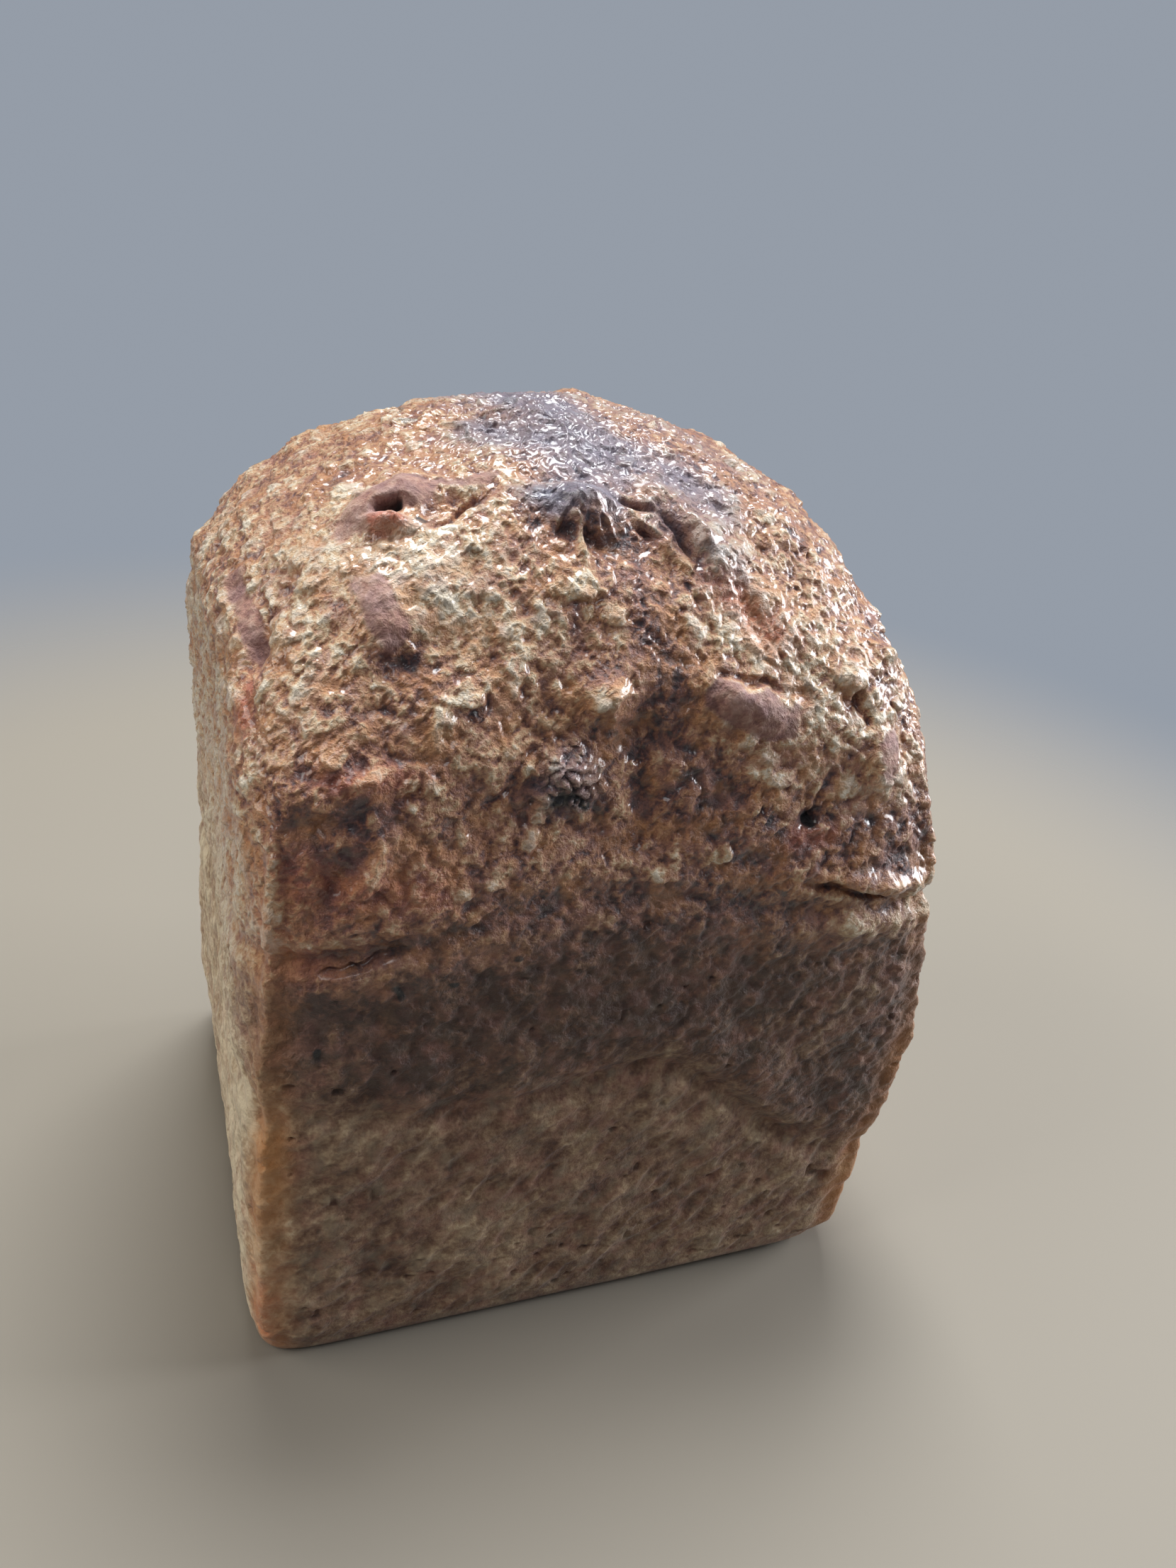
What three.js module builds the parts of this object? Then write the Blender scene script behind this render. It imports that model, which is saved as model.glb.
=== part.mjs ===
// A small tin-baked loaf, uncut, standing upright on its flat base.
//
// The lower walls were held by the tin, so they are flat, taper towards the base and meet in tight
// corners. Above the tin's rim the dough rose free into a rough, uneven dome. The loaf is one solid.
//
// Millimetres, +Z up. The origin is the middle of the face that the loaf rests on, the broad face that
// shows its fold looks towards -Y, and +X runs to the right along that face.

import * as THREE from 'three';

// ---------------------------------------------------------------- driving dimensions

// Half extents of the plan at three heights, from the origin to each side.
const BASE = { left: 40.2, right: 40.4, front: 35.4, back: 34.4 };
const FOLD = { left: 41.0, right: 48.2 };
const RIM = { left: 40.8, right: 44.6, front: 36.5, back: 36.0 };

const FOLD_HEIGHT = 38; // crease half way up the tin wall
const RIM_HEIGHT = 60; // where the tin ended
const NARROWED_HEIGHT = 68; // where the wall has drawn in from the fold's extents to the rim's
const CROWN_HEIGHT = 110; // highest point of the dome

// Height at which each side stops being a wall and starts to roll over into the dome.
const SHOULDER = { left: 88, right: 66, front: 59, back: 62 };
// How full the roll is in plan, and how soon it levels out: 2 is an ellipse, more is boxier.
const FULLNESS = { left: 1.9, right: 2.2, front: 2.35, back: 2.3 };
const LEVELLING = { left: 1.8, right: 2.0, front: 1.8, back: 1.9 };
const CROWN_SHIFT = { x: -3, y: 3 }; // the dome leans a little back and to the left

// Squareness of the plan: 2 is an ellipse, 16 a square with tight corners.
const SQUARE_BASE = 16;
const SQUARE_RIM = 8;
const SQUARE_CROWN = 2;

const EDGE_RADIUS = 2.0; // rounding between base and walls
const CORNER_LIFT = 1.2; // the right front corner of the base stands clear of the table
const FLAT_BAND = 3.0; // height over which the crust's unevenness fades out towards the base

// Unevenness of the crust: depth and typical width.
const LUMP_DEPTH = 1.3;
const LUMP_WIDTH = 24;
const CRAG_DEPTH_DOME = 1.5;
const CRAG_DEPTH_WALL = 0.5;
const CRAG_WIDTH = 8.5;
const KNOB_DEPTH_DOME = 0.7;
const KNOB_WIDTH = 5.2;
const FOLD_CHANGE = 21; // length over which the fold and the rim line grow deeper or fainter

// Resolution: faces round the loaf, and rings of faces up each zone.
const AROUND = 112;
const BASE_RINGS = 2;
const EDGE_RINGS = 2;
const WALL_RINGS = 22;
const DOME_RINGS = 26;

// ---------------------------------------------------------------- marks of the bake

// Single hollows and swellings of the crust. Each lies at a point, runs along a direction, and has a
// half length, a half width and a height, which is negative for a hollow.
const MARKS = [
  // burst bubble near the left of the crown: a raised ring with a hollow in it
  { name: 'bubble_ring', at: [-24, -15.7, 103.5], along: [6, 0.6, 2.5], half: [4.6, 3.6], height: 1.5 },
  { name: 'bubble_hollow', at: [-24, -16.2, 103.3], along: [6, 0.6, 2.5], half: [2.8, 1.7], height: -3.4 },
  { name: 'crown_slit', at: [-16.7, -16.2, 105], along: [7.3, 2.2, 2.1], half: [4.4, 1.2], height: -1.5 },
  // scorched ridge over the crown, the knob at its end and the cave under the knob
  { name: 'scorched_ridge', at: [-2.5, -6, 109], along: [2, -12, -4], half: [11, 4.2], height: 0.8 },
  { name: 'scorched_knob', at: [-3.3, -17.6, 104.3], along: [8, -1, -1], half: [3.6, 2.4], height: 2.3 },
  { name: 'knob_cave', at: [-2.6, -21, 101.8], along: [7, -1, -1.5], half: [4.2, 1.9], height: -2.8 },
  // ridge that falls from the knob to the right, with two cracks beside it
  { name: 'falling_ridge', at: [9.5, -19.5, 102.5], along: [9.6, -8, -9.5], half: [9, 2.6], height: 0.8 },
  { name: 'upper_crack', at: [7, -20.8, 101.6], along: [3, -3.2, -3.1], half: [3.4, 1.1], height: -1.5 },
  { name: 'lower_crack', at: [13.6, -25, 96.5], along: [3.4, -4.2, -5.7], half: [4.8, 1.2], height: -1.7 },
  // smooth patch, and the dark hollow at its foot
  { name: 'smooth_patch', at: [-25.5, -24.5, 97.2], along: [1, -8, -7], half: [4.6, 2.6], height: 0.9 },
  { name: 'patch_hollow', at: [-24.8, -28.6, 92.4], along: [5, -1, -1], half: [2.6, 1.7], height: -2.0 },
  { name: 'corner_pit', at: [-38.2, -20.1, 90.4], along: [0.5, -3, -7], half: [3.4, 2.0], height: -2.2 },
  // long smooth swelling on the right of the dome, and the round knobs near the middle
  { name: 'long_swelling', at: [13, -30.6, 86.9], along: [11.4, -1.7, -3.5], half: [6.2, 2.7], height: 2.0 },
  { name: 'round_knob', at: [-2.9, -29.9, 87.9], along: [1, 0, 0], half: [2.2, 2.2], height: 1.7 },
  { name: 'burnt_knobs', at: [-7.3, -32.9, 80.8], along: [3, 0, -1], half: [3.6, 2.8], height: 1.2 },
  { name: 'curled_flap', at: [-27.6, -33.8, 81.9], along: [6, -0.5, 1.5], half: [3.8, 1.6], height: 1.5 },
  { name: 'middle_valley', at: [1.5, -33, 80], along: [1, -2, -9], half: [6.5, 2.4], height: -1.2 },
  { name: 'side_hole', at: [22.4, -34.9, 73.8], along: [1, 0, 0], half: [1.9, 1.9], height: -1.9 },
  { name: 'upper_hole', at: [18.7, -5.1, 106.5], along: [3, -1, -1], half: [2.2, 1.4], height: -1.6 },
  { name: 'right_hole', at: [26.6, -30.2, 86.9], along: [1, -1, -4], half: [2.2, 1.4], height: -1.6 },
  // torn crust above the rim on the right, and the bulge of dough under it
  { name: 'torn_shred', at: [35, -35.5, 64.3], along: [9, 0.5, -0.6], half: [8, 1.4], height: 1.3 },
  { name: 'rim_bulge', at: [30.5, -36.2, 60.4], along: [8, 0, -1], half: [5.5, 2.2], height: 1.1 },
  // pinched crease low on the front, and the notches where the dough left the tin's corners
  { name: 'front_crease', at: [31, -35.6, 24.6], along: [11, 0.2, -3.4], half: [5.6, 1.3], height: -1.1 },
  { name: 'right_notch', at: [47.5, -32, 34.6], along: [5, 4, 0.5], half: [5, 2], height: -1.5 },
  { name: 'left_notch', at: [-40, -34, 38.5], along: [-5, 4, 0.5], half: [5, 2.2], height: -1.3 },
];

// Marks of the same kinds on the sides that are turned away, dealt out by a seeded draw.
const HIDDEN_MARKS = 16;
const HIDDEN_SEED = 71;
const HIDDEN_TURN = 0.62; // share of the way round, from the right front corner past the back

const CRUST_COLOR = 0x9c6b3f;
const CRUST_ROUGHNESS = 0.62;

// ---------------------------------------------------------------- small mathematics

const clamp = (x, low, high) => Math.min(high, Math.max(low, x));
const mix = (a, b, t) => a + (b - a) * t;

/** 0 below a, 1 above b, and a smooth S between. */
function smooth(a, b, x) {
  const t = clamp((x - a) / (b - a), 0, 1);
  return t * t * (3 - 2 * t);
}

/** A bell of height 1 round zero that falls to 1/e at x = width. */
const bell = (x, width) => Math.exp(-((x / width) ** 2));

/** A repeatable number from 0 to 1 for one point of a whole-number lattice. */
function latticeValue(i, j, k) {
  let h = Math.imul(i, 374761393) + Math.imul(j, 668265263) + Math.imul(k, 1442695041);
  h = Math.imul(h ^ (h >>> 13), 1274126177);
  return ((h ^ (h >>> 16)) >>> 0) / 4294967296;
}

/** Smooth noise from -1 to 1 with features about `width` across: lattice values blended by S curves. */
function noise(p, width, offset = 0) {
  const q = [p.x / width + offset, p.y / width + offset * 1.7, p.z / width - offset];
  const cell = q.map(Math.floor);
  const f = q.map((v, axis) => smooth(0, 1, v - cell[axis]));
  let sum = 0;
  for (let corner = 0; corner < 8; corner++) {
    const step = [corner & 1, (corner >> 1) & 1, (corner >> 2) & 1];
    const weight = step.reduce((w, on, axis) => w * (on ? f[axis] : 1 - f[axis]), 1);
    sum += weight * latticeValue(cell[0] + step[0], cell[1] + step[1], cell[2] + step[2]);
  }
  return 2 * sum - 1;
}

/** Noise folded at zero, so that it has sharp ridges at 1 and round hollows below. */
const ridged = (p, width, offset) => 1 - 2 * Math.abs(noise(p, width, offset));

// ---------------------------------------------------------------- the even form

/** Unit direction in plan for u from 0 to 1, closer together at the corners of the square. */
function direction(u) {
  const side = Math.floor(u * 4);
  const angle = (side * Math.PI) / 2 + Math.atan((u * 4 - side) * 2 - 1);
  return { c: Math.cos(angle), s: Math.sin(angle) };
}

/** A value given for the four sides, blended by direction so that it runs smoothly round the loaf. */
function bySide({ c, s }, of) {
  return c * c * (c < 0 ? of.left : of.right) + s * s * (s < 0 ? of.front : of.back);
}

/** Distance from the centre to a superellipse of half extents 1, in one direction. */
const section = ({ c, s }, square) => (Math.abs(c) ** square + Math.abs(s) ** square) ** (-1 / square);

/** Point of the tin wall in direction d at height z: it flares from the base and narrows above the fold. */
function wallPoint(d, z) {
  const low = clamp(z / FOLD_HEIGHT, 0, 1);
  const high = smooth(FOLD_HEIGHT, NARROWED_HEIGHT, z);
  const rise = clamp(z / RIM_HEIGHT, 0, 1);
  const x = d.c < 0
    ? mix(mix(BASE.left, FOLD.left, low), RIM.left, high)
    : mix(mix(BASE.right, FOLD.right, low), RIM.right, high);
  const y = d.s < 0
    ? mix(BASE.front, RIM.front, rise ** 0.7)
    : mix(BASE.back, RIM.back, rise ** 0.7);
  const r = section(d, mix(SQUARE_BASE, SQUARE_RIM, rise));
  return new THREE.Vector3(x * r * d.c, y * r * d.s, z);
}

/** Point of the dome in direction d, for t from 0 at the shoulder to 1 at the crown. */
function domePoint(d, t) {
  const shoulder = bySide(d, SHOULDER);
  const turn = (t * Math.PI) / 2;
  const z = shoulder + (CROWN_HEIGHT - shoulder) * Math.sin(turn) ** (2 / bySide(d, LEVELLING));
  const shrink = Math.max(0, Math.cos(turn)) ** (2 / bySide(d, FULLNESS));
  const r = section(d, mix(SQUARE_RIM, SQUARE_CROWN, t)) * shrink;
  const lean = 1 - Math.cos(turn);
  const x = CROWN_SHIFT.x * lean + (d.c < 0 ? RIM.left : RIM.right) * r * d.c;
  const y = CROWN_SHIFT.y * lean + (d.s < 0 ? RIM.front : RIM.back) * r * d.s;
  return new THREE.Vector3(x, y, z);
}

/** Height of the base under a plan point: flat, but lifted towards the right front corner. */
const baseHeight = (x, y) => CORNER_LIFT * smooth(4, BASE.right, x) * smooth(-14, -BASE.front, y);

/** Point of the rounded edge, for a turn from 0 (lying in the base) to 90 degrees (standing in the wall). */
function edgePoint(d, turn) {
  const up = EDGE_RADIUS * (1 - Math.cos(turn));
  const inset = EDGE_RADIUS * (1 - Math.sin(turn));
  const foot = wallPoint(d, up);
  const run = Math.hypot(foot.x, foot.y);
  foot.multiplyScalar((run - inset) / run);
  foot.z = up + baseHeight(foot.x, foot.y) * (1 - up / EDGE_RADIUS);
  return foot;
}

// ---------------------------------------------------------------- relief of the crust

/** Height of the crease round the tin wall: level on the front's left, then falling to the right corner. */
function foldHeight(p) {
  const fall = 19 * smooth(4, 36, p.x) * smooth(16, -33, p.y);
  return FOLD_HEIGHT + 4 + 1.6 * Math.sin(p.x / 9) + 2.2 * Math.sin(p.y / 11 + 1) - fall;
}

/** Height of the line that the tin's rim left: it climbs in the middle of the front and of the back. */
const rimLine = (p) => RIM_HEIGHT + 5.5 * bell(p.x + 4, 22) + 1.2 * Math.sin(p.y / 8);

/** Share of the free-risen dome crust at a point: 0 on the tin wall, 1 on the dome. */
const domeShare = (p) => smooth(rimLine(p) - 2, rimLine(p) + 14, p.z);

/** Groove of the fold with the fuller dough above it, deeper in some places than in others. */
function foldRelief(p) {
  const above = p.z - foldHeight(p);
  const strength = 0.62 + 0.38 * noise(p, FOLD_CHANGE, 5);
  return strength * (-1.4 * bell(above, 1.9) + 0.9 * bell(above - 6.5, 5));
}

/** Groove and lip at the rim line: plain at the corners, faint across each face and on the left side. */
function rimRelief(p) {
  const above = p.z - rimLine(p);
  const corner = 0.3 + 0.7 * smooth(12, 26, Math.abs(p.x)) * smooth(14, 30, Math.abs(p.y));
  const strength = corner * (0.7 + 0.3 * noise(p, FOLD_CHANGE, 8)) * mix(0.6, 1, smooth(-40, -30, p.x));
  return strength * (1.0 * bell(above + 3.2, 2.4) - 1.3 * bell(above, 1.5) + 0.8 * bell(above - 4, 3));
}

/** Height of one mark at a point, a bell in its length and in its width. */
function markRelief(p, mark) {
  const away = p.clone().sub(mark.centre);
  const lengthwise = away.dot(mark.axis);
  const sideways = Math.sqrt(Math.max(0, away.lengthSq() - lengthwise ** 2));
  return mark.height * bell(lengthwise, mark.half[0]) * bell(sideways, mark.half[1]);
}

/** Numbers from 0 to 1 in a repeatable order. */
function seededDraw(seed) {
  let step = 0;
  return () => latticeValue(seed, step++, 7);
}

/** Swellings and pits for the back and the right side, on the dome and just above the rim. */
function hiddenMarks() {
  const draw = seededDraw(HIDDEN_SEED);
  return Array.from({ length: HIDDEN_MARKS }, () => {
    const d = direction(mix(0, HIDDEN_TURN, draw()));
    const at = domePoint(d, mix(0.05, 0.8, draw()));
    const along = new THREE.Vector3(mix(-1, 1, draw()), mix(-1, 1, draw()), mix(-0.5, 0.5, draw()));
    const half = [mix(2.4, 6, draw()), mix(1.6, 2.8, draw())];
    const height = draw() < 0.5 ? mix(1, 2, draw()) : -mix(1, 2, draw());
    return { at: at.toArray(), along: along.toArray(), half, height };
  });
}

const ALL_MARKS = [...MARKS, ...hiddenMarks()].map((mark) => ({
  ...mark,
  centre: new THREE.Vector3(...mark.at),
  axis: new THREE.Vector3(...mark.along).normalize(),
}));

/** How far the crust stands out from the even form at a point, in millimetres. */
function relief(p) {
  const dome = domeShare(p);
  const lumps = LUMP_DEPTH * noise(p, LUMP_WIDTH, 3);
  const crags = mix(CRAG_DEPTH_WALL, CRAG_DEPTH_DOME, dome) * 0.5 * ridged(p, CRAG_WIDTH, 11);
  const knobs = KNOB_DEPTH_DOME * dome * noise(p, KNOB_WIDTH, 29);
  const marks = ALL_MARKS.reduce((sum, mark) => sum + markRelief(p, mark), 0);
  const all = lumps + crags + knobs + marks + foldRelief(p) + rimRelief(p);
  return all * smooth(0, FLAT_BAND, p.z - EDGE_RADIUS);
}

// ---------------------------------------------------------------- rings of points, base to crown

/** One ring: the point in every direction, from a function of direction. */
function ring(pointAt) {
  return Array.from({ length: AROUND }, (_, i) => pointAt(direction(i / AROUND)));
}

function evenRings() {
  const rings = [];
  for (let i = 1; i <= BASE_RINGS; i++) {
    rings.push(ring((d) => {
      const rim = edgePoint(d, 0);
      const p = rim.clone().multiplyScalar(i / (BASE_RINGS + 1));
      p.z = baseHeight(p.x, p.y);
      return p;
    }));
  }
  for (let i = 0; i < EDGE_RINGS; i++) {
    rings.push(ring((d) => edgePoint(d, (i / EDGE_RINGS) * (Math.PI / 2))));
  }
  for (let i = 0; i < WALL_RINGS; i++) {
    rings.push(ring((d) => wallPoint(d, mix(EDGE_RADIUS, bySide(d, SHOULDER), i / WALL_RINGS))));
  }
  for (let i = 0; i < DOME_RINGS; i++) {
    rings.push(ring((d) => domePoint(d, i / DOME_RINGS)));
  }
  return rings;
}

/** Outward normal of the even form at one point of a ring, from its neighbours. */
function normalAt(rings, row, i) {
  const next = rings[row][(i + 1) % AROUND];
  const last = rings[row][(i + AROUND - 1) % AROUND];
  const above = rings[Math.min(row + 1, rings.length - 1)][i];
  const below = rings[Math.max(row - 1, 0)][i];
  return next.clone().sub(last).cross(above.clone().sub(below)).normalize();
}

/** The even rings, each point moved out along its normal by the relief there. */
function crustRings() {
  const rings = evenRings();
  return rings.map((points, row) =>
    points.map((p, i) => p.clone().addScaledVector(normalAt(rings, row, i), relief(p))));
}

// ---------------------------------------------------------------- the solid

/** Closed skin: fans at the two poles, and two faces for each step between neighbouring rings. */
function crustGeometry() {
  const rings = crustRings();
  const crown = new THREE.Vector3(CROWN_SHIFT.x, CROWN_SHIFT.y, CROWN_HEIGHT);
  crown.z += relief(crown);
  const points = [new THREE.Vector3(0, 0, 0), ...rings.flat(), crown];
  const at = (row, i) => 1 + row * AROUND + (i % AROUND);
  const top = points.length - 1;
  const lastRow = rings.length - 1;
  const faces = [];
  for (let i = 0; i < AROUND; i++) {
    faces.push(0, at(0, i + 1), at(0, i));
    faces.push(top, at(lastRow, i), at(lastRow, i + 1));
    for (let row = 0; row < lastRow; row++) {
      faces.push(at(row, i), at(row, i + 1), at(row + 1, i + 1));
      faces.push(at(row, i), at(row + 1, i + 1), at(row + 1, i));
    }
  }
  const geometry = new THREE.BufferGeometry();
  geometry.setAttribute('position', new THREE.Float32BufferAttribute(points.flatMap((p) => p.toArray()), 3));
  geometry.setIndex(faces);
  geometry.computeVertexNormals();
  return geometry;
}

function crustMaterial() {
  return new THREE.MeshStandardMaterial({ color: CRUST_COLOR, roughness: CRUST_ROUGHNESS, metalness: 0 });
}

function buildLoaf() {
  const loaf = new THREE.Mesh(crustGeometry(), crustMaterial());
  loaf.name = 'loaf';
  const group = new THREE.Group();
  group.add(loaf);
  return group;
}

export default buildLoaf();
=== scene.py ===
# %% [markdown]
# # A small loaf, baked in a tin and left whole
# The loaf stands upright on its flat base. The tin held its lower walls, so they are flat and pale, and
# above the tin's rim the dough rose free into a craggy dome with a broken, flaky, well-browned crust.
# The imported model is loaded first, because every piece made here has to lie where that solid lies.

# %% Load the solid loaf
import itertools
import math

import bpy
import numpy as np
from mathutils import Euler, Matrix, Vector


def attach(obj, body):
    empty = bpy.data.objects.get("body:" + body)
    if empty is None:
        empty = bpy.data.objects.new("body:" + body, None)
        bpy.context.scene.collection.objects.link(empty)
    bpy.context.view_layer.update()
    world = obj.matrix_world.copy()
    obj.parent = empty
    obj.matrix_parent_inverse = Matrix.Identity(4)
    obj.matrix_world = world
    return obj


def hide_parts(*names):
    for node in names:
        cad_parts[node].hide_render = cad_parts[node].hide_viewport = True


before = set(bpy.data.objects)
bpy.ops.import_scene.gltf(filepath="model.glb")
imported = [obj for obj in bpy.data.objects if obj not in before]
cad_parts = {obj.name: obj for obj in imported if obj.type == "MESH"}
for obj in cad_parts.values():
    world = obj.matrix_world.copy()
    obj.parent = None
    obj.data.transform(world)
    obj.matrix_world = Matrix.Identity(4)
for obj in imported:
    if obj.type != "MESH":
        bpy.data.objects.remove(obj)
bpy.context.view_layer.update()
MM = 0.001  # Blender works in metres, and the sizes below are in millimetres

# %% [markdown]
# ## The camera
# The photograph was taken from above the left front corner, close to the loaf and slightly tilted, so
# the walls run together towards the base. Its place and the directions of its view were worked out from
# the loaf's own edges. A camera in Blender looks along its own -Z with +Y up, so the three directions
# become the columns of its matrix.

# %% Camera
CAMERA_AT = (-48.5, -136.2, 141.7)
LOOKS_ALONG = Vector((0.3399, 0.8059, -0.4848))
LEVEL_RIGHT = Vector((0.9214, -0.3886, 0.0))
CAMERA_ROLL = math.radians(7.5)
FRAME_HEIGHT_PX = 2212
FOCAL_PX = 1725
SENSOR = 36.0  # millimetres, along the picture's longer side
CLIP = (0.01, 50.0)  # metres, the nearest and the farthest that the camera sees

below = LOOKS_ALONG.cross(LEVEL_RIGHT)
right = LEVEL_RIGHT * math.cos(CAMERA_ROLL) - below * math.sin(CAMERA_ROLL)
down = LEVEL_RIGHT * math.sin(CAMERA_ROLL) + below * math.cos(CAMERA_ROLL)
camera_data = bpy.data.cameras.new("camera")
camera_data.sensor_width = SENSOR
camera_data.lens = FOCAL_PX / FRAME_HEIGHT_PX * SENSOR
camera_data.clip_start, camera_data.clip_end = CLIP
camera = bpy.data.objects.new("camera", camera_data)
camera.matrix_world = Matrix.Translation(Vector(CAMERA_AT) * MM) @ Matrix(
    (right, -down, -LOOKS_ALONG)).transposed().to_4x4()
bpy.context.scene.collection.objects.link(camera)
bpy.context.scene.camera = camera
print("lens, mm:", round(camera_data.lens, 2))

# %% [markdown]
# ## Floor and light
# The loaf stands on a plain pale floor. A soft, window-like light comes from above and behind, as in
# the photograph: it grazes the dome, so that every flake shows, and leaves the front wall in soft
# shade. Weaker ones from the right, the left and the front, and a pale surround, fill the shadows.

# %% Floor
FLOOR_HALF = 3.0  # metres
FLOOR_ENDS = (0.14, 0.28)  # metres from the loaf between which the floor fades into the surround
FLOOR_COLOR, FLOOR_ROUGHNESS = (0.25, 0.223, 0.182, 1.0), 0.7
floor_mesh = bpy.data.meshes.new("floor")
floor_mesh.from_pydata(
    [(x, y, 0.0) for x, y in ((-FLOOR_HALF, -FLOOR_HALF), (FLOOR_HALF, -FLOOR_HALF),
                              (FLOOR_HALF, FLOOR_HALF), (-FLOOR_HALF, FLOOR_HALF))],
    [], [(0, 1, 2, 3)])
floor = bpy.data.objects.new("floor", floor_mesh)
bpy.context.scene.collection.objects.link(floor)
floor_material = bpy.data.materials.new("pale_floor")
floor_material.use_nodes = True
floor_nodes, floor_links = floor_material.node_tree.nodes, floor_material.node_tree.links
floor_shader = floor_nodes["Principled BSDF"]
floor_shader.inputs["Base Color"].default_value = FLOOR_COLOR
floor_shader.inputs["Roughness"].default_value = FLOOR_ROUGHNESS
far_off = floor_nodes.new("ShaderNodeVectorMath")
far_off.operation = "LENGTH"
fade = floor_nodes.new("ShaderNodeMapRange")
fade.interpolation_type = "SMOOTHSTEP"
fade.inputs["From Min"].default_value, fade.inputs["From Max"].default_value = FLOOR_ENDS
nothing, mixed = floor_nodes.new("ShaderNodeBsdfTransparent"), floor_nodes.new("ShaderNodeMixShader")
floor_links.new(floor_nodes.new("ShaderNodeTexCoord").outputs["Object"], far_off.inputs[0])
floor_links.new(far_off.outputs["Value"], fade.inputs["Value"])
floor_links.new(fade.outputs["Result"], mixed.inputs[0])
floor_links.new(floor_shader.outputs[0], mixed.inputs[1])
floor_links.new(nothing.outputs[0], mixed.inputs[2])
floor_links.new(mixed.outputs[0], floor_nodes["Material Output"].inputs["Surface"])
floor_mesh.materials.append(floor_material)
print("floor, metres across:", 2 * FLOOR_HALF)

# %% Lights
LIGHTS = [  # name, place in metres, width in metres, watts, colour
    ("window", (0.12, 0.30, 0.88), 0.40, 10.6, (0.95, 0.98, 1.0)),
    ("window_right", (0.82, -0.03, 0.34), 0.40, 8.2, (0.94, 0.96, 1.0)),
    ("window_left", (-0.75, 0.06, 0.55), 0.60, 4.3, (1.0, 0.97, 0.91)),
    ("front_fill", (-0.10, -0.60, 1.05), 0.35, 1.6, (0.95, 0.97, 1.0)),
]
AIM = Vector((0.0, 0.0, 0.06))
SURROUND_COLOR = (0.30, 0.335, 0.39, 1.0)
SURROUND_LIGHT = 0.25  # how much of the surround's brightness also falls on the loaf


def soft_light(name, place, width, watts, color):
    """A square lamp of that width, turned so that its -Z points at the middle of the loaf."""
    data = bpy.data.lights.new(name, "AREA")
    data.shape, data.size, data.energy, data.color = "SQUARE", width, watts, color
    lamp = bpy.data.objects.new(name, data)
    lamp.location = place
    lamp.rotation_euler = (AIM - Vector(place)).to_track_quat("-Z", "Y").to_euler()
    bpy.context.scene.collection.objects.link(lamp)


for light in LIGHTS:
    soft_light(*light)
world = bpy.data.worlds.new("pale_surround")
bpy.context.scene.world = world
world.use_nodes = True
surround = world.node_tree.nodes["Background"]
surround.inputs["Color"].default_value = SURROUND_COLOR
seen = world.node_tree.nodes.new("ShaderNodeLightPath")
strength = world.node_tree.nodes.new("ShaderNodeMapRange")
strength.inputs["To Min"].default_value = SURROUND_LIGHT
world.node_tree.links.new(seen.outputs["Is Camera Ray"], strength.inputs["Value"])
world.node_tree.links.new(strength.outputs["Result"], surround.inputs["Strength"])
bpy.context.scene.view_settings.view_transform = "Standard"
print("lights:", [light[0] for light in LIGHTS])

# %% [markdown]
# ## Small mathematics
# Crust has no straight line to draw, so its shape is a sum of many simple curves. Three are enough:
# a straight mix between two values, an S curve from 0 to 1, and a bell. They work on whole arrays.

# %% Curves


def mix(a, b, t):
    """The value that lies the share t of the way from a to b."""
    return a + (b - a) * t


def smooth(a, b, x):
    """0 below a, 1 above b, and between them the S curve 3t^2 - 2t^3."""
    t = np.clip((x - a) / (b - a), 0.0, 1.0)
    return t * t * (3 - 2 * t)


def bell(x, width):
    """1 at x = 0, falling on both sides as e to the power of minus (x / width) squared."""
    return np.exp(-((x / width) ** 2))


print("half way up each curve:", mix(2, 4, 0.5), float(smooth(0, 1, 0.5)))

# %% [markdown]
# Nothing about a crust repeats, yet the script must give the same loaf each time it runs. So the
# unevenness comes from a lattice of numbers that are scrambled but fixed. Blending them between the
# lattice points gives smooth lumps, and folding the result at zero gives sharp ridges.

# %% Repeatable unevenness


def lattice(i, j, k):
    """A number from 0 to 1 for each whole-number point: three products, added up and scrambled, all in
    32 bits. The large odd factors only serve to scramble."""
    h = (i * 374761393 + j * 668265263 + k * 1442695041) & 0xFFFFFFFF
    h = ((h ^ (h >> 13)) * 1274126177) & 0xFFFFFFFF
    return (h ^ (h >> 16)) / 4294967296.0


def noise(p, width, offset=0.0):
    """Smooth lumps from -1 to 1, about `width` across: the eight lattice values round a point, blended.
    The offset moves the lattice, so that each use gets lumps of its own."""
    q = p / width + np.array([offset, offset * 1.7, -offset])
    cell = np.floor(q).astype(np.int64)
    i, j, k = np.moveaxis(cell, -1, 0)
    fx, fy, fz = np.moveaxis(smooth(0.0, 1.0, q - cell), -1, 0)
    corners = [lattice(i + a, j + b, k + c) for a, b, c in itertools.product((0, 1), repeat=3)]
    edges = [mix(corners[n], corners[n + 1], fz) for n in (0, 2, 4, 6)]
    return 2 * mix(mix(edges[0], edges[1], fy), mix(edges[2], edges[3], fy), fx) - 1


def ridged(p, width, offset=0.0):
    """Noise folded at zero: 1 along sharp ridges, down to -1 in round hollows."""
    return 1 - 2 * np.abs(noise(p, width, offset))


sample = np.linspace(0, 60, 240)[:, None] * np.array([1.0, 0.4, 0.2])
print("noise along a line runs from", round(float(noise(sample, 3).min()), 2),
      "to", round(float(noise(sample, 3).max()), 2))

# %% [markdown]
# The crust of the dome is broken into flakes and blisters. Each is the patch of surface that lies
# nearest to one of many scattered points, which is how cracked skin of any kind can be drawn. For each
# place on the crust this finds the nearest scattered point, how far off it is, and how near the edge
# towards the next patch is.

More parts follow.
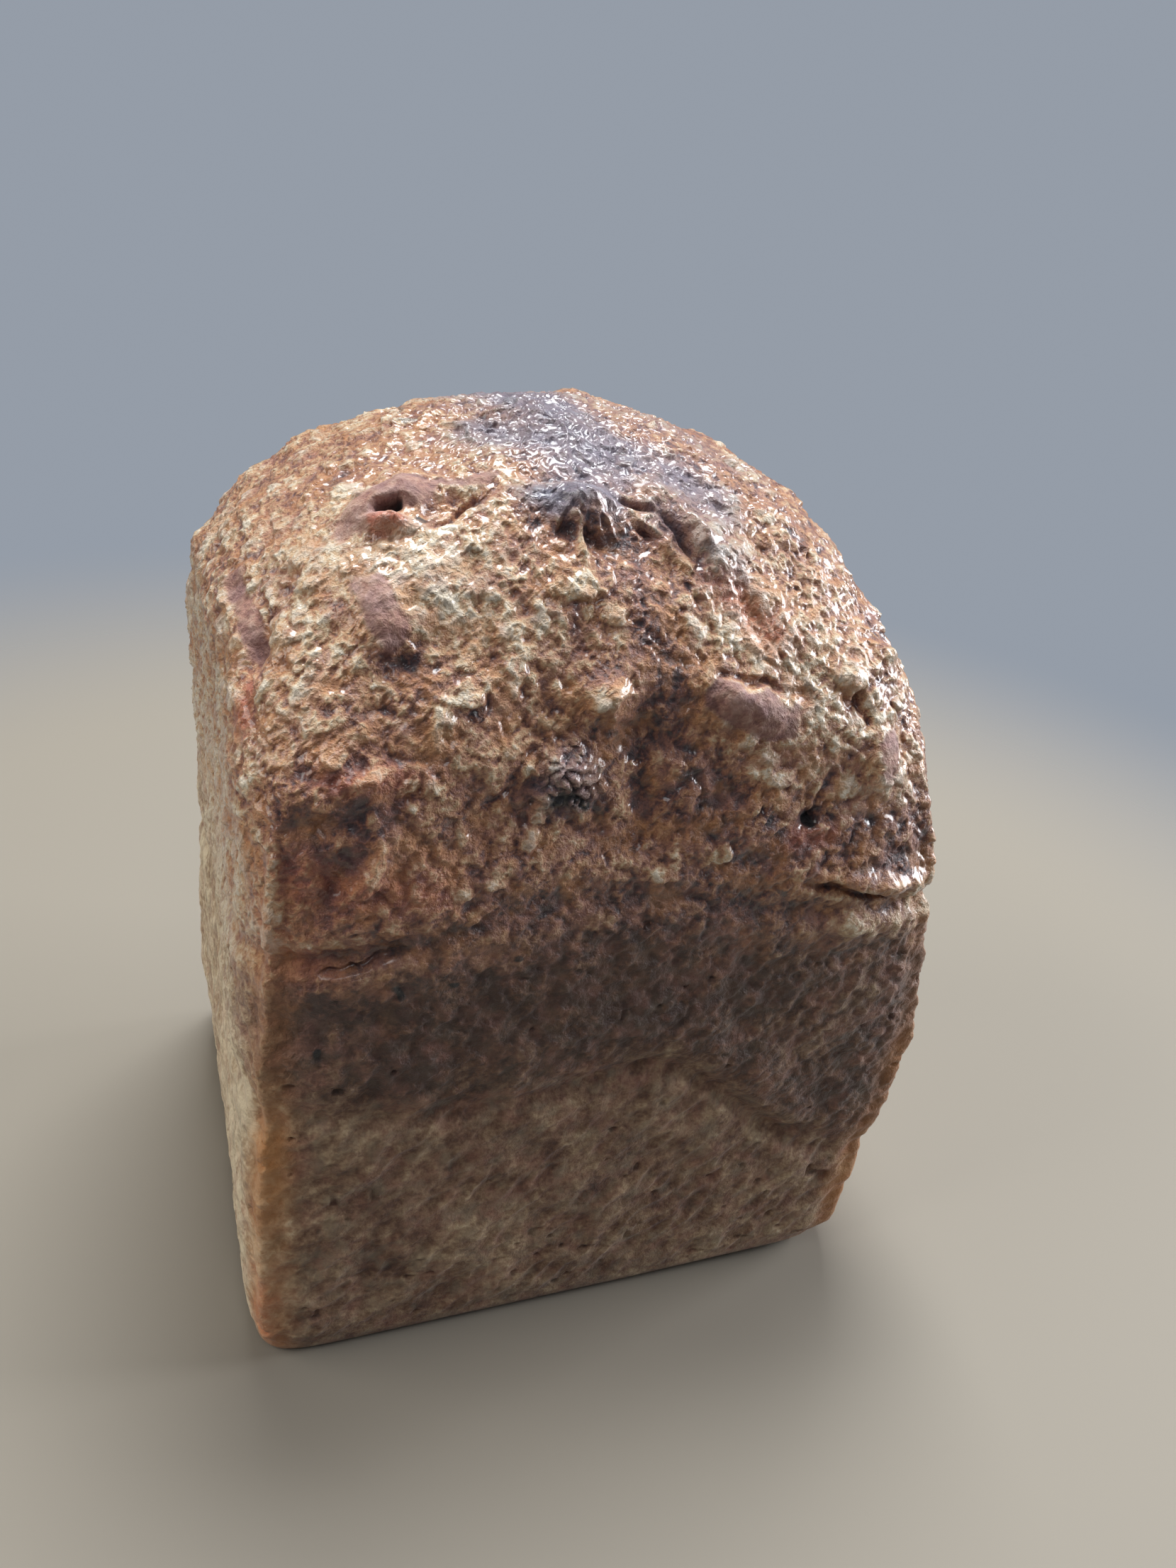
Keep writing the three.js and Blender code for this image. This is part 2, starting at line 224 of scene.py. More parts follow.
# %% Scattered patches
FAR = 9.0  # farther than any scattered centre can be, in units of the patches' width


def patches(p, width, offset=0.0):
    """For each point: the way from the nearest scattered centre, its length, the gap to the second
    nearest, all in units of `width`, and two numbers from 0 to 1 that belong to the patch."""
    q = p / width + offset
    home = np.floor(q).astype(np.int64)
    near, next_near = np.full(q.shape[:-1], FAR), np.full(q.shape[:-1], FAR)
    way, owner = np.zeros_like(q), np.zeros_like(home)
    for step in itertools.product((-1, 0, 1), repeat=3):
        cell = home + step
        i, j, k = np.moveaxis(cell, -1, 0)
        centre = cell + np.stack(
            [lattice(i, j, k), lattice(i + 31, j, k - 17), lattice(i, j + 53, k + 29)], -1)
        away = q - centre
        far = np.sqrt((away ** 2).sum(-1))
        closer = far < near
        next_near = np.where(closer, near, np.minimum(next_near, far))
        near = np.where(closer, far, near)
        way = np.where(closer[..., None], away, way)
        owner = np.where(closer[..., None], cell, owner)
    i, j, k = np.moveaxis(owner, -1, 0)
    return way, near, next_near - near, lattice(i + 7, j - 5, k + 3), lattice(i - 11, j + 2, k + 19)


# %% [markdown]
# ## The even form of the loaf
# Before its crust breaks up, the loaf is a simple form. In plan each section is a rounded square, a
# superellipse, and its half widths change with height: a little wider at the fold half way up the tin,
# and narrower at the rim. Above each side's shoulder the section shrinks to a point over a quarter
# turn, which makes the dome. These are the same sizes as in the solid, so the two agree.

# %% Sizes of the even form, in millimetres
BASE = {"left": 40.2, "right": 40.4, "front": 35.4, "back": 34.4}
FOLD = {"left": 41.0, "right": 48.2}
RIM = {"left": 40.8, "right": 44.6, "front": 36.5, "back": 36.0}
FOLD_HEIGHT, RIM_HEIGHT, NARROWED_HEIGHT, CROWN_HEIGHT = 38.0, 60.0, 68.0, 110.0
SHOULDER = {"left": 88.0, "right": 66.0, "front": 59.0, "back": 62.0}
FULLNESS = {"left": 1.9, "right": 2.2, "front": 2.35, "back": 2.3}
LEVELLING = {"left": 1.8, "right": 2.0, "front": 1.8, "back": 1.9}
DOME_RUN = {"left": 50.0, "right": 64.0, "front": 66.0, "back": 64.0}
CROWN_SHIFT = (-3.0, 3.0)
SQUARE_BASE, SQUARE_RIM, SQUARE_CROWN = 16.0, 8.0, 2.0
DEPTH_SWELL = 0.7  # power with which the depth grows from base to rim
EDGE_RADIUS, CORNER_LIFT, FLAT_BAND = 2.0, 1.2, 3.0
LIFT_FROM = (4, -14)  # where the base starts to lift, towards the right and towards the front
print("width and depth at the base, mm:", BASE["left"] + BASE["right"], BASE["front"] + BASE["back"])

# %% Points of the even form


def direction(u):
    """Cosine and sine in plan for u from 0 to 1, stepping evenly along the sides of a square."""
    side = np.floor(u * 4)
    angle = side * math.pi / 2 + np.arctan((u * 4 - side) * 2 - 1)
    return np.cos(angle), np.sin(angle)


def by_side(c, s, of):
    """A value given for four sides, blended by the squares of cosine and sine."""
    return (c * c * np.where(c < 0, of["left"], of["right"])
            + s * s * np.where(s < 0, of["front"], of["back"]))


def section(c, s, square):
    """Distance to a superellipse: (|c|^n + |s|^n) to the power of -1/n."""
    return (np.abs(c) ** square + np.abs(s) ** square) ** (-1 / square)


def wall_point(c, s, z):
    """Point of the tin wall: half widths go from base to fold to rim, on a superellipse of that height."""
    low, rise = np.clip(z / FOLD_HEIGHT, 0, 1), np.clip(z / RIM_HEIGHT, 0, 1)
    high = smooth(FOLD_HEIGHT, NARROWED_HEIGHT, z)
    x = np.where(c < 0, mix(mix(BASE["left"], FOLD["left"], low), RIM["left"], high),
                 mix(mix(BASE["right"], FOLD["right"], low), RIM["right"], high))
    deep = rise ** DEPTH_SWELL
    y = np.where(s < 0, mix(BASE["front"], RIM["front"], deep), mix(BASE["back"], RIM["back"], deep))
    r = section(c, s, mix(SQUARE_BASE, SQUARE_RIM, rise))
    return np.stack(np.broadcast_arrays(x * r * c, y * r * s, z), -1)


def dome_point(c, s, t):
    """Point of the dome: the plan shrinks with a power of the cosine of a quarter turn, and the height
    grows with a power of its sine, while the middle leans back and to the left."""
    shoulder, turn = by_side(c, s, SHOULDER), t * math.pi / 2
    z = shoulder + (CROWN_HEIGHT - shoulder) * np.sin(turn) ** (2 / by_side(c, s, LEVELLING))
    shrink = np.maximum(0, np.cos(turn)) ** (2 / by_side(c, s, FULLNESS))
    r = section(c, s, mix(SQUARE_RIM, SQUARE_CROWN, t)) * shrink
    lean = 1 - np.cos(turn)
    x = CROWN_SHIFT[0] * lean + np.where(c < 0, RIM["left"], RIM["right"]) * r * c
    y = CROWN_SHIFT[1] * lean + np.where(s < 0, RIM["front"], RIM["back"]) * r * s
    return np.stack(np.broadcast_arrays(x, y, z), -1)


def base_height(x, y):
    """Height of the base over the table: none, but for a lift towards the right front corner."""
    return CORNER_LIFT * smooth(LIFT_FROM[0], BASE["right"], x) * smooth(LIFT_FROM[1], -BASE["front"], y)


def edge_point(c, s, turn):
    """Point of the rounded edge between base and wall, a quarter circle of EDGE_RADIUS."""
    up, inset = EDGE_RADIUS * (1 - np.cos(turn)), EDGE_RADIUS * (1 - np.sin(turn))
    foot = wall_point(c, s, up)
    run = np.hypot(foot[..., 0], foot[..., 1])
    foot = foot * ((run - inset) / run)[..., None]
    foot[..., 2] = up + base_height(foot[..., 0], foot[..., 1]) * (1 - up / EDGE_RADIUS)
    return foot


# %% [markdown]
# ## One fine net over the whole loaf
# The net has columns that run from the base to the crown and rows that run round the loaf. Its faces
# are about a quarter of a millimetre, fine enough for the edge of a flake. It is worked out as one
# array, so that relief and colour run on without a break, and is cut into pieces later.

# %% The net of the even form
COLUMNS = 1200
BASE_ROWS, EDGE_ROWS, CRUST_ROWS = 3, 5, 566
DENSER_UP = 0.35  # rows lie closer by this share at the crown, and wider by it at the base

u = np.arange(COLUMNS)[None, :] / COLUMNS
cos_u, sin_u = direction(u)
shoulder_u, run_u = by_side(cos_u, sin_u, SHOULDER), by_side(cos_u, sin_u, DOME_RUN)


def crust_row(share):
    """Even points for a share from 0 at the base's edge to 1 at the crown: up the wall, then the dome."""
    wall_length = shoulder_u - EDGE_RADIUS
    station = share * (wall_length + run_u)
    wall = wall_point(cos_u, sin_u, EDGE_RADIUS + np.minimum(station, wall_length))
    t = np.clip((station - wall_length) / run_u, 0, 1)
    return np.where((t > 0)[..., None], dome_point(cos_u, sin_u, t), wall)


row_share = np.linspace(0, 1, CRUST_ROWS, endpoint=False)
row_share = row_share + DENSER_UP * row_share * (1 - row_share)
base_share = (np.arange(1, BASE_ROWS + 1) / (BASE_ROWS + 1))[:, None]
base_rows = edge_point(cos_u, sin_u, 0.0 * u) * base_share[..., None]
base_rows[..., 2] = base_height(base_rows[..., 0], base_rows[..., 1])
edge_turn = np.linspace(0, math.pi / 2, EDGE_ROWS, endpoint=False)[:, None]
edge_rows = edge_point(cos_u, sin_u, edge_turn + 0 * u)
even = np.concatenate([base_rows, edge_rows, crust_row(row_share[:, None])])


def unit(v):
    """Each vector divided by its own length."""
    return v / np.maximum(np.linalg.norm(v, axis=-1, keepdims=True), 1e-9)


def net_directions(points):
    """Unit vectors round the loaf, up the loaf and outwards, from each point's neighbours in the net."""
    along = unit(np.roll(points, -1, 1) - np.roll(points, 1, 1))
    up = unit(np.gradient(points, axis=0))
    return along, up, unit(np.cross(along, up))


_, upward, outward = net_directions(even)
print("net:", even.shape[:2], "points")

# %% [markdown]
# ## Broad relief: fold, rim and the marks of the bake
# The tin pressed a crease across each wall half way up, where the dough folded over itself. At the rim
# the dough spilled a little and left a line. Above it lie the marks by which this loaf is known: a burst
# bubble, a scorched knob with a cave under it, cracks, smooth swellings and small holes. Each mark is a
# bell in its length and its width. The solid has the same marks, some of them deeper: there they stand
# alone, and here flakes lie over them.

# %% Marks of the bake
MARKS = {  # at, along, half length and half width, height
    "bubble_ring": ((-24, -15.7, 103.5), (6, 0.6, 2.5), (4.6, 3.6), 1.5),
    "bubble_hollow": ((-24, -16.2, 103.3), (6, 0.6, 2.5), (2.4, 1.3), -1.2),
    "crown_slit": ((-16.7, -16.2, 105), (7.3, 2.2, 2.1), (4.4, 1.2), -1.5),
    "scorched_ridge": ((-2.5, -6, 109), (2, -12, -4), (11, 4.2), 0.8),
    "scorched_knob": ((-3.3, -17.6, 104.3), (8, -1, -1), (3.6, 2.4), 2.3),
    "knob_cave": ((-2.6, -21, 101.8), (7, -1, -1.5), (4.2, 1.9), -1.1),
    "falling_ridge": ((9.5, -19.5, 102.5), (9.6, -8, -9.5), (9, 2.6), 0.8),
    "upper_crack": ((7, -20.8, 101.6), (3, -3.2, -3.1), (3.4, 1.1), -0.6),
    "lower_crack": ((13.6, -25, 96.5), (3.4, -4.2, -5.7), (4.8, 1.2), -0.5),
    "smooth_patch": ((-25.5, -24.5, 97.2), (1, -8, -7), (4.6, 2.6), 0.9),
    "patch_hollow": ((-24.8, -28.6, 92.4), (5, -1, -1), (2.6, 1.7), -1.0),
    "corner_pit": ((-38.2, -20.1, 90.4), (0.5, -3, -7), (3.4, 2.0), -2.2),
    "long_swelling": ((13, -30.6, 86.9), (11.4, -1.7, -3.5), (6.2, 2.7), 1.2),
    "round_knob": ((-2.9, -29.9, 87.9), (1, 0, 0), (2.2, 2.2), 1.7),
    "burnt_knobs": ((-7.3, -32.9, 80.8), (3, 0, -1), (3.6, 2.8), 1.2),
    "curled_flap": ((-27.6, -33.8, 81.9), (6, -0.5, 1.5), (3.8, 1.6), 1.0),
    "middle_valley": ((1.5, -33, 80), (1, -2, -9), (6.5, 2.4), -1.2),
    "side_hole": ((22.4, -34.9, 73.8), (1, 0, 0), (1.9, 1.9), -0.8),
    "upper_hole": ((18.7, -5.1, 106.5), (3, -1, -1), (2.2, 1.4), -1.6),
    "right_hole": ((26.6, -30.2, 86.9), (1, -1, -4), (2.2, 1.4), -1.0),
    "torn_shred": ((35, -35.5, 64.3), (9, 0.5, -0.6), (8, 1.4), 1.3),
    "rim_bulge": ((30.5, -36.2, 60.4), (8, 0, -1), (5.5, 2.2), 1.1),
    "front_crease": ((31, -35.6, 24.6), (11, 0.2, -3.4), (5.6, 1.3), -1.1),
    "right_notch": ((47.5, -32, 34.6), (5, 4, 0.5), (5, 2), -0.4),
    "left_notch": ((-40, -34, 38.5), (-5, 4, 0.5), (5, 2.2), -1.3),
}
HIDDEN_MARKS, HIDDEN_SEED = 16, 71
HIDDEN_TURN = 0.62  # share of the way round that gets them, from the right front corner past the back
DRAWS_EACH = 9  # numbers drawn for one hidden mark


def hidden_mark(n):
    """Mark number n of the sides turned away, from nine fixed draws: place, way, half sizes, height."""
    d = lattice(HIDDEN_SEED, np.arange(n * DRAWS_EACH, (n + 1) * DRAWS_EACH), 7)
    c, s = direction(np.array(mix(0, HIDDEN_TURN, d[0])))
    at = dome_point(c, s, np.array(mix(0.05, 0.8, d[1])))
    along = (mix(-1, 1, d[2]), mix(-1, 1, d[3]), mix(-0.5, 0.5, d[4]))
    height = mix(0.5, 1, d[8]) * (1 if d[7] < 0.5 else -1)
    return at, along, (mix(2.4, 6, d[5]), mix(1.6, 2.8, d[6])), height


all_marks = list(MARKS.values()) + [hidden_mark(n) for n in range(HIDDEN_MARKS)]


def along_and_off(away, along):
    """How far each point lies along the line through a mark, and how far it is off that line."""
    lengthwise = away @ unit(np.array(along, float))
    return lengthwise, np.sqrt(np.maximum(0, (away ** 2).sum(-1) - lengthwise ** 2))


def mark_relief(p, at, along, half, height):
    """Height times a bell of the distance along the mark, times a bell of the distance from its line."""
    lengthwise, sideways = along_and_off(p - np.array(at, float), along)
    return height * bell(lengthwise, half[0]) * bell(sideways, half[1])


print("marks:", len(all_marks))

# %% Fold and rim
CREASE_OVER_FOLD, CREASE_FALL = 4, 19  # mm over the mean fold, and down to the right front corner
FOLD_GROOVE, FOLD_BAND = (-1.4, 1.9), (0.9, 5)  # height and width of each, mm
BAND_OVER_CREASE = 6.5  # mm
CORNER_EASE = 0.65  # share of the fold's relief that is missing at the right front corner
RIM_ARCH, RIM_WAVE = (5.5, 22), 1.2  # how far the rim line rises in mid side and how widely; its wave
RIM_TO_DOME = (-2, 14)  # mm over the rim line between which the wall gives way to the dome
RIM_PROFILE = [(-3.2, 1, 2.4), (0, -1.3, 1.5), (4, 0.8, 3)]  # lip, groove, lip: place, height, width


def fold_height(p):
    """Height of the crease: level on the front's left, falling to the right front corner, with two waves."""
    x, y = p[..., 0], p[..., 1]
    fall = CREASE_FALL * smooth(4, 36, x) * smooth(16, -33, y)
    return FOLD_HEIGHT + CREASE_OVER_FOLD + 1.6 * np.sin(x / 9) + 2.2 * np.sin(y / 11 + 1) - fall


def rim_line(p):
    """Height of the line that the tin's rim left, higher in the middle of the front and the back."""
    return RIM_HEIGHT + RIM_ARCH[0] * bell(p[..., 0] + 4, RIM_ARCH[1]) + RIM_WAVE * np.sin(p[..., 1] / 8)


def dome_share(p):
    """0 on the tin wall, 1 on the free-risen dome."""
    return smooth(rim_line(p) + RIM_TO_DOME[0], rim_line(p) + RIM_TO_DOME[1], p[..., 2])


def fold_relief(p):
    """A groove along the crease and a fuller band above it, stronger in some places than in others."""
    above = p[..., 2] - fold_height(p)
    eased = 1 - CORNER_EASE * smooth(22, 40, p[..., 0]) * smooth(-20, -32, p[..., 1])
    groove = FOLD_GROOVE[0] * bell(above, FOLD_GROOVE[1])
    band = FOLD_BAND[0] * bell(above - BAND_OVER_CREASE, FOLD_BAND[1])
    return eased * (0.62 + 0.38 * noise(p, 21, 5)) * (groove + band)


def rim_relief(p):
    """A lip, a groove and a lip, plain at the corners and faint across each face."""
    x, y = p[..., 0], p[..., 1]
    above = p[..., 2] - rim_line(p)
    corner = 0.3 + 0.7 * smooth(12, 26, np.abs(x)) * smooth(14, 30, np.abs(y))
    strength = corner * (0.7 + 0.3 * noise(p, 21, 8)) * mix(0.6, 1, smooth(-40, -30, x))
    return strength * sum(height * bell(above - over, width) for over, height, width in RIM_PROFILE)


# %% Lumps, and the broad relief in all
LUMP_HEIGHT, CRAG_HEIGHT, KNOB_HEIGHT = 1.3, 0.5, 0.5
LUMPS, CRAGS, KNOBS = (24, 3), (8.5, 11), (5.2, 29)  # width and offset of each noise


def broad_relief(p):
    """Lumps, crags and knobs of noise, the marks, the fold and the rim, added up."""
    dome = dome_share(p)
    lumps = LUMP_HEIGHT * noise(p, *LUMPS)
    crags = CRAG_HEIGHT * mix(0.5, 0.7, dome) * ridged(p, *CRAGS)
    knobs = KNOB_HEIGHT * dome * noise(p, *KNOBS)
    marks = sum(mark_relief(p, *mark) for mark in all_marks)
    return lumps + crags + knobs + marks + fold_relief(p) + rim_relief(p)


fade_in = smooth(0, FLAT_BAND, even[..., 2] - EDGE_RADIUS)  # the base stays flat
dome = dome_share(even)
broad = broad_relief(even) * fade_in
print("broad relief, mm:", round(float(broad.min()), 2), "to", round(float(broad.max()), 2))

# %% [markdown]
# ## Carved marks
# Up close the marks of the bake have crisp borders: the burst bubble is a raised smooth mound with a
# slanting hole and a lip under it, the knob overhangs a cave, and the cracks have steep sides. Each of
# these is a bell with a flatter top and steeper sides, which a higher power in the bell gives. They are
# measured along the skin of the even form: a mark that was placed a few millimetres over or under that
# skin still comes out at its full size.

# %% Carved marks
CARVED = {  # at, along, half length and half width, height, power
    "bubble_mound": ((-24.0, -14.2, 104.1), (6.3, 2.1, 3.1), (4.4, 2.6), 1.1, 4),
    "bubble_hole": ((-23.6, -15.9, 103.8), (2.3, -0.2, 0.8), (1.25, 0.56), -3.0, 4),
    "bubble_lip": ((-24.2, -17.4, 102.9), (3.6, -0.9, 0.4), (2.5, 0.8), 1.25, 3),
    "under_lip": ((-24.6, -18.7, 101.9), (4.0, -1.0, 0.3), (2.8, 0.6), -0.5, 2),
    "slit_edge": ((-15.8, -17.0, 104.8), (6.8, 3.4, 2.8), (4.0, 0.6), -1.2, 2),
    "knob_ledge": ((-4.2, -16.6, 105.1), (6.9, -1.1, -1.0), (4.6, 1.5), 0.5, 3),
    "knob_cave_wide": ((-3.4, -20.4, 101.9), (7.0, -1.6, -1.5), (3.0, 1.1), -0.4, 3),
    "cave_pillar": ((-4.6, -20.6, 102.0), (0.4, -2.2, -2.2), (2.6, 0.5), 1.1, 2),
    "crack": ((7.3, -20.3, 102.0), (2.6, -3.5, -3.4), (3.0, 0.5), -1.1, 3),
    "crack_left_edge": ((5.3, -21.3, 101.6), (2.6, -3.5, -3.4), (3.2, 0.8), 0.8, 2),
    "crack_right_edge": ((9.4, -19.6, 101.7), (2.6, -3.5, -3.4), (3.6, 0.9), 0.9, 2),
    "slot_upper": ((2.4, -17.7, 104.2), (5.5, -1.6, -1.3), (2.6, 0.5), -1.1, 2),
    "slot_lower": ((3.4, -20.6, 102.3), (4.5, -1.0, -1.6), (1.8, 0.5), -1.0, 2),
    "scoop": ((14.2, -25.4, 96.2), (3.4, -4.2, -5.7), (3.6, 1.0), -0.35, 3),
    "hole_in_crown": ((17.3, -7.2, 106.9), (2.1, -1.5, -1.1), (1.7, 0.7), -2.3, 2),
    "knob_by_hole": ((19.4, -5.6, 106.3), (2.1, 2.0, -1.1), (1.8, 1.3), 1.1, 2),
    "lozenge": ((14.2, -30.9, 86.2), (11.6, -1.6, -3.0), (5.4, 2.1), 0.7, 4),
    "over_lozenge": ((14.6, -29.5, 88.6), (11.6, -1.0, -2.6), (4.6, 0.5), -0.7, 2),
    "patch": ((-25.9, -24.8, 96.9), (2.4, -5.3, -5.1), (5.2, 2.4), 0.5, 4),
    "right_patch": ((32.0, -32.4, 80.0), (0.6, -1.6, -5.0), (3.6, 2.4), 0.7, 4),
    "right_knob": ((26.9, -29.6, 88.6), (1.0, -0.6, -1.0), (1.5, 1.3), 0.8, 2),
    "right_slot": ((28.6, -30.4, 86.4), (0.7, -1.2, -2.8), (1.8, 0.7), -1.4, 2),
    "edge_knob": ((33.6, -25.5, 90.0), (1.0, -0.8, -1.4), (2.0, 1.5), 1.2, 2),
    "hole_rim": ((22.9, -35.0, 72.6), (2.4, 0.2, 1.0), (2.0, 0.6), 0.7, 2),
    "hole": ((22.3, -34.9, 74.0), (0.5, 0.0, 1.0), (1.1, 0.75), -1.1, 3),
    "left_lump": ((-33.6, -33.6, 80.6), (5.0, -1.0, 1.0), (3.0, 1.4), 0.6, 3),
    "under_left_lump": ((-33.0, -34.6, 77.6), (6.0, -0.6, 0.6), (3.6, 0.9), -0.5, 2),
    "left_valley": ((-31.0, -34.6, 72.4), (-2.6, 0.4, -5.6), (4.4, 1.3), -0.9, 2),
    "left_ridge": ((-27.6, -35.2, 73.6), (2.4, -0.3, 5.4), (4.2, 1.0), 0.8, 2),
    "seam": ((-30.0, -36.0, 61.4), (16.0, -1.6, 3.6), (9.0, 0.45), -0.8, 4),
    "right_seam": ((31.0, -36.2, 63.8), (10.0, 0.0, -2.6), (8.5, 0.5), -1.2, 4),
    "flap_over_seam": ((30.6, -36.2, 65.6), (10.0, 0.0, -2.0), (8.0, 1.1), 0.7, 3),
}
SKIN_REACH = (4.0, 8.0)  # mm off the skin up to which a mark counts as on it, and from which it doesn't


def along_skin(away):
    """The way from a mark to each point without its part across the skin, when that part is a few mm."""
    across = (away * outward).sum(-1, keepdims=True)
    return away - outward * across * (1 - smooth(*SKIN_REACH, np.abs(across)))


def carved_relief(p, at, along, half, height, power):
    """Height times e to the minus (lengthwise / half length)^power and (sideways / half width)^power."""
    lengthwise, sideways = along_and_off(along_skin(p - np.array(at, float)), along)
    return height * np.exp(-np.abs(lengthwise / half[0]) ** power - (sideways / half[1]) ** power)


# %% Carve them, with straying borders and keen corners
STRAY, STRAY_WIDTH = 0.55, 2.2  # mm that the borders of marks stray, and mm from one stray to the next
KEEN_CORNER = 0.9  # mm that the tin's corners stand out over the rounded square

wander = STRAY * np.stack([noise(even, STRAY_WIDTH, n) for n in (41, 47, 53)], -1)
flat = np.minimum(np.abs(cos_u), np.abs(sin_u))
aslant = flat / np.maximum(np.abs(cos_u), np.abs(sin_u))  # 0 in the middle of a side, 1 at a corner
corner = smooth(0.91, 1.0, aslant) ** 2 * (1 - smooth(70, 90, even[..., 2]))
carved = sum(carved_relief(even + wander, *mark) for mark in CARVED.values())
carved = (carved + KEEN_CORNER * corner) * fade_in
print("carved marks:", len(CARVED), "mm:", round(float(carved.min()), 2), "to", round(float(carved.max()), 2))
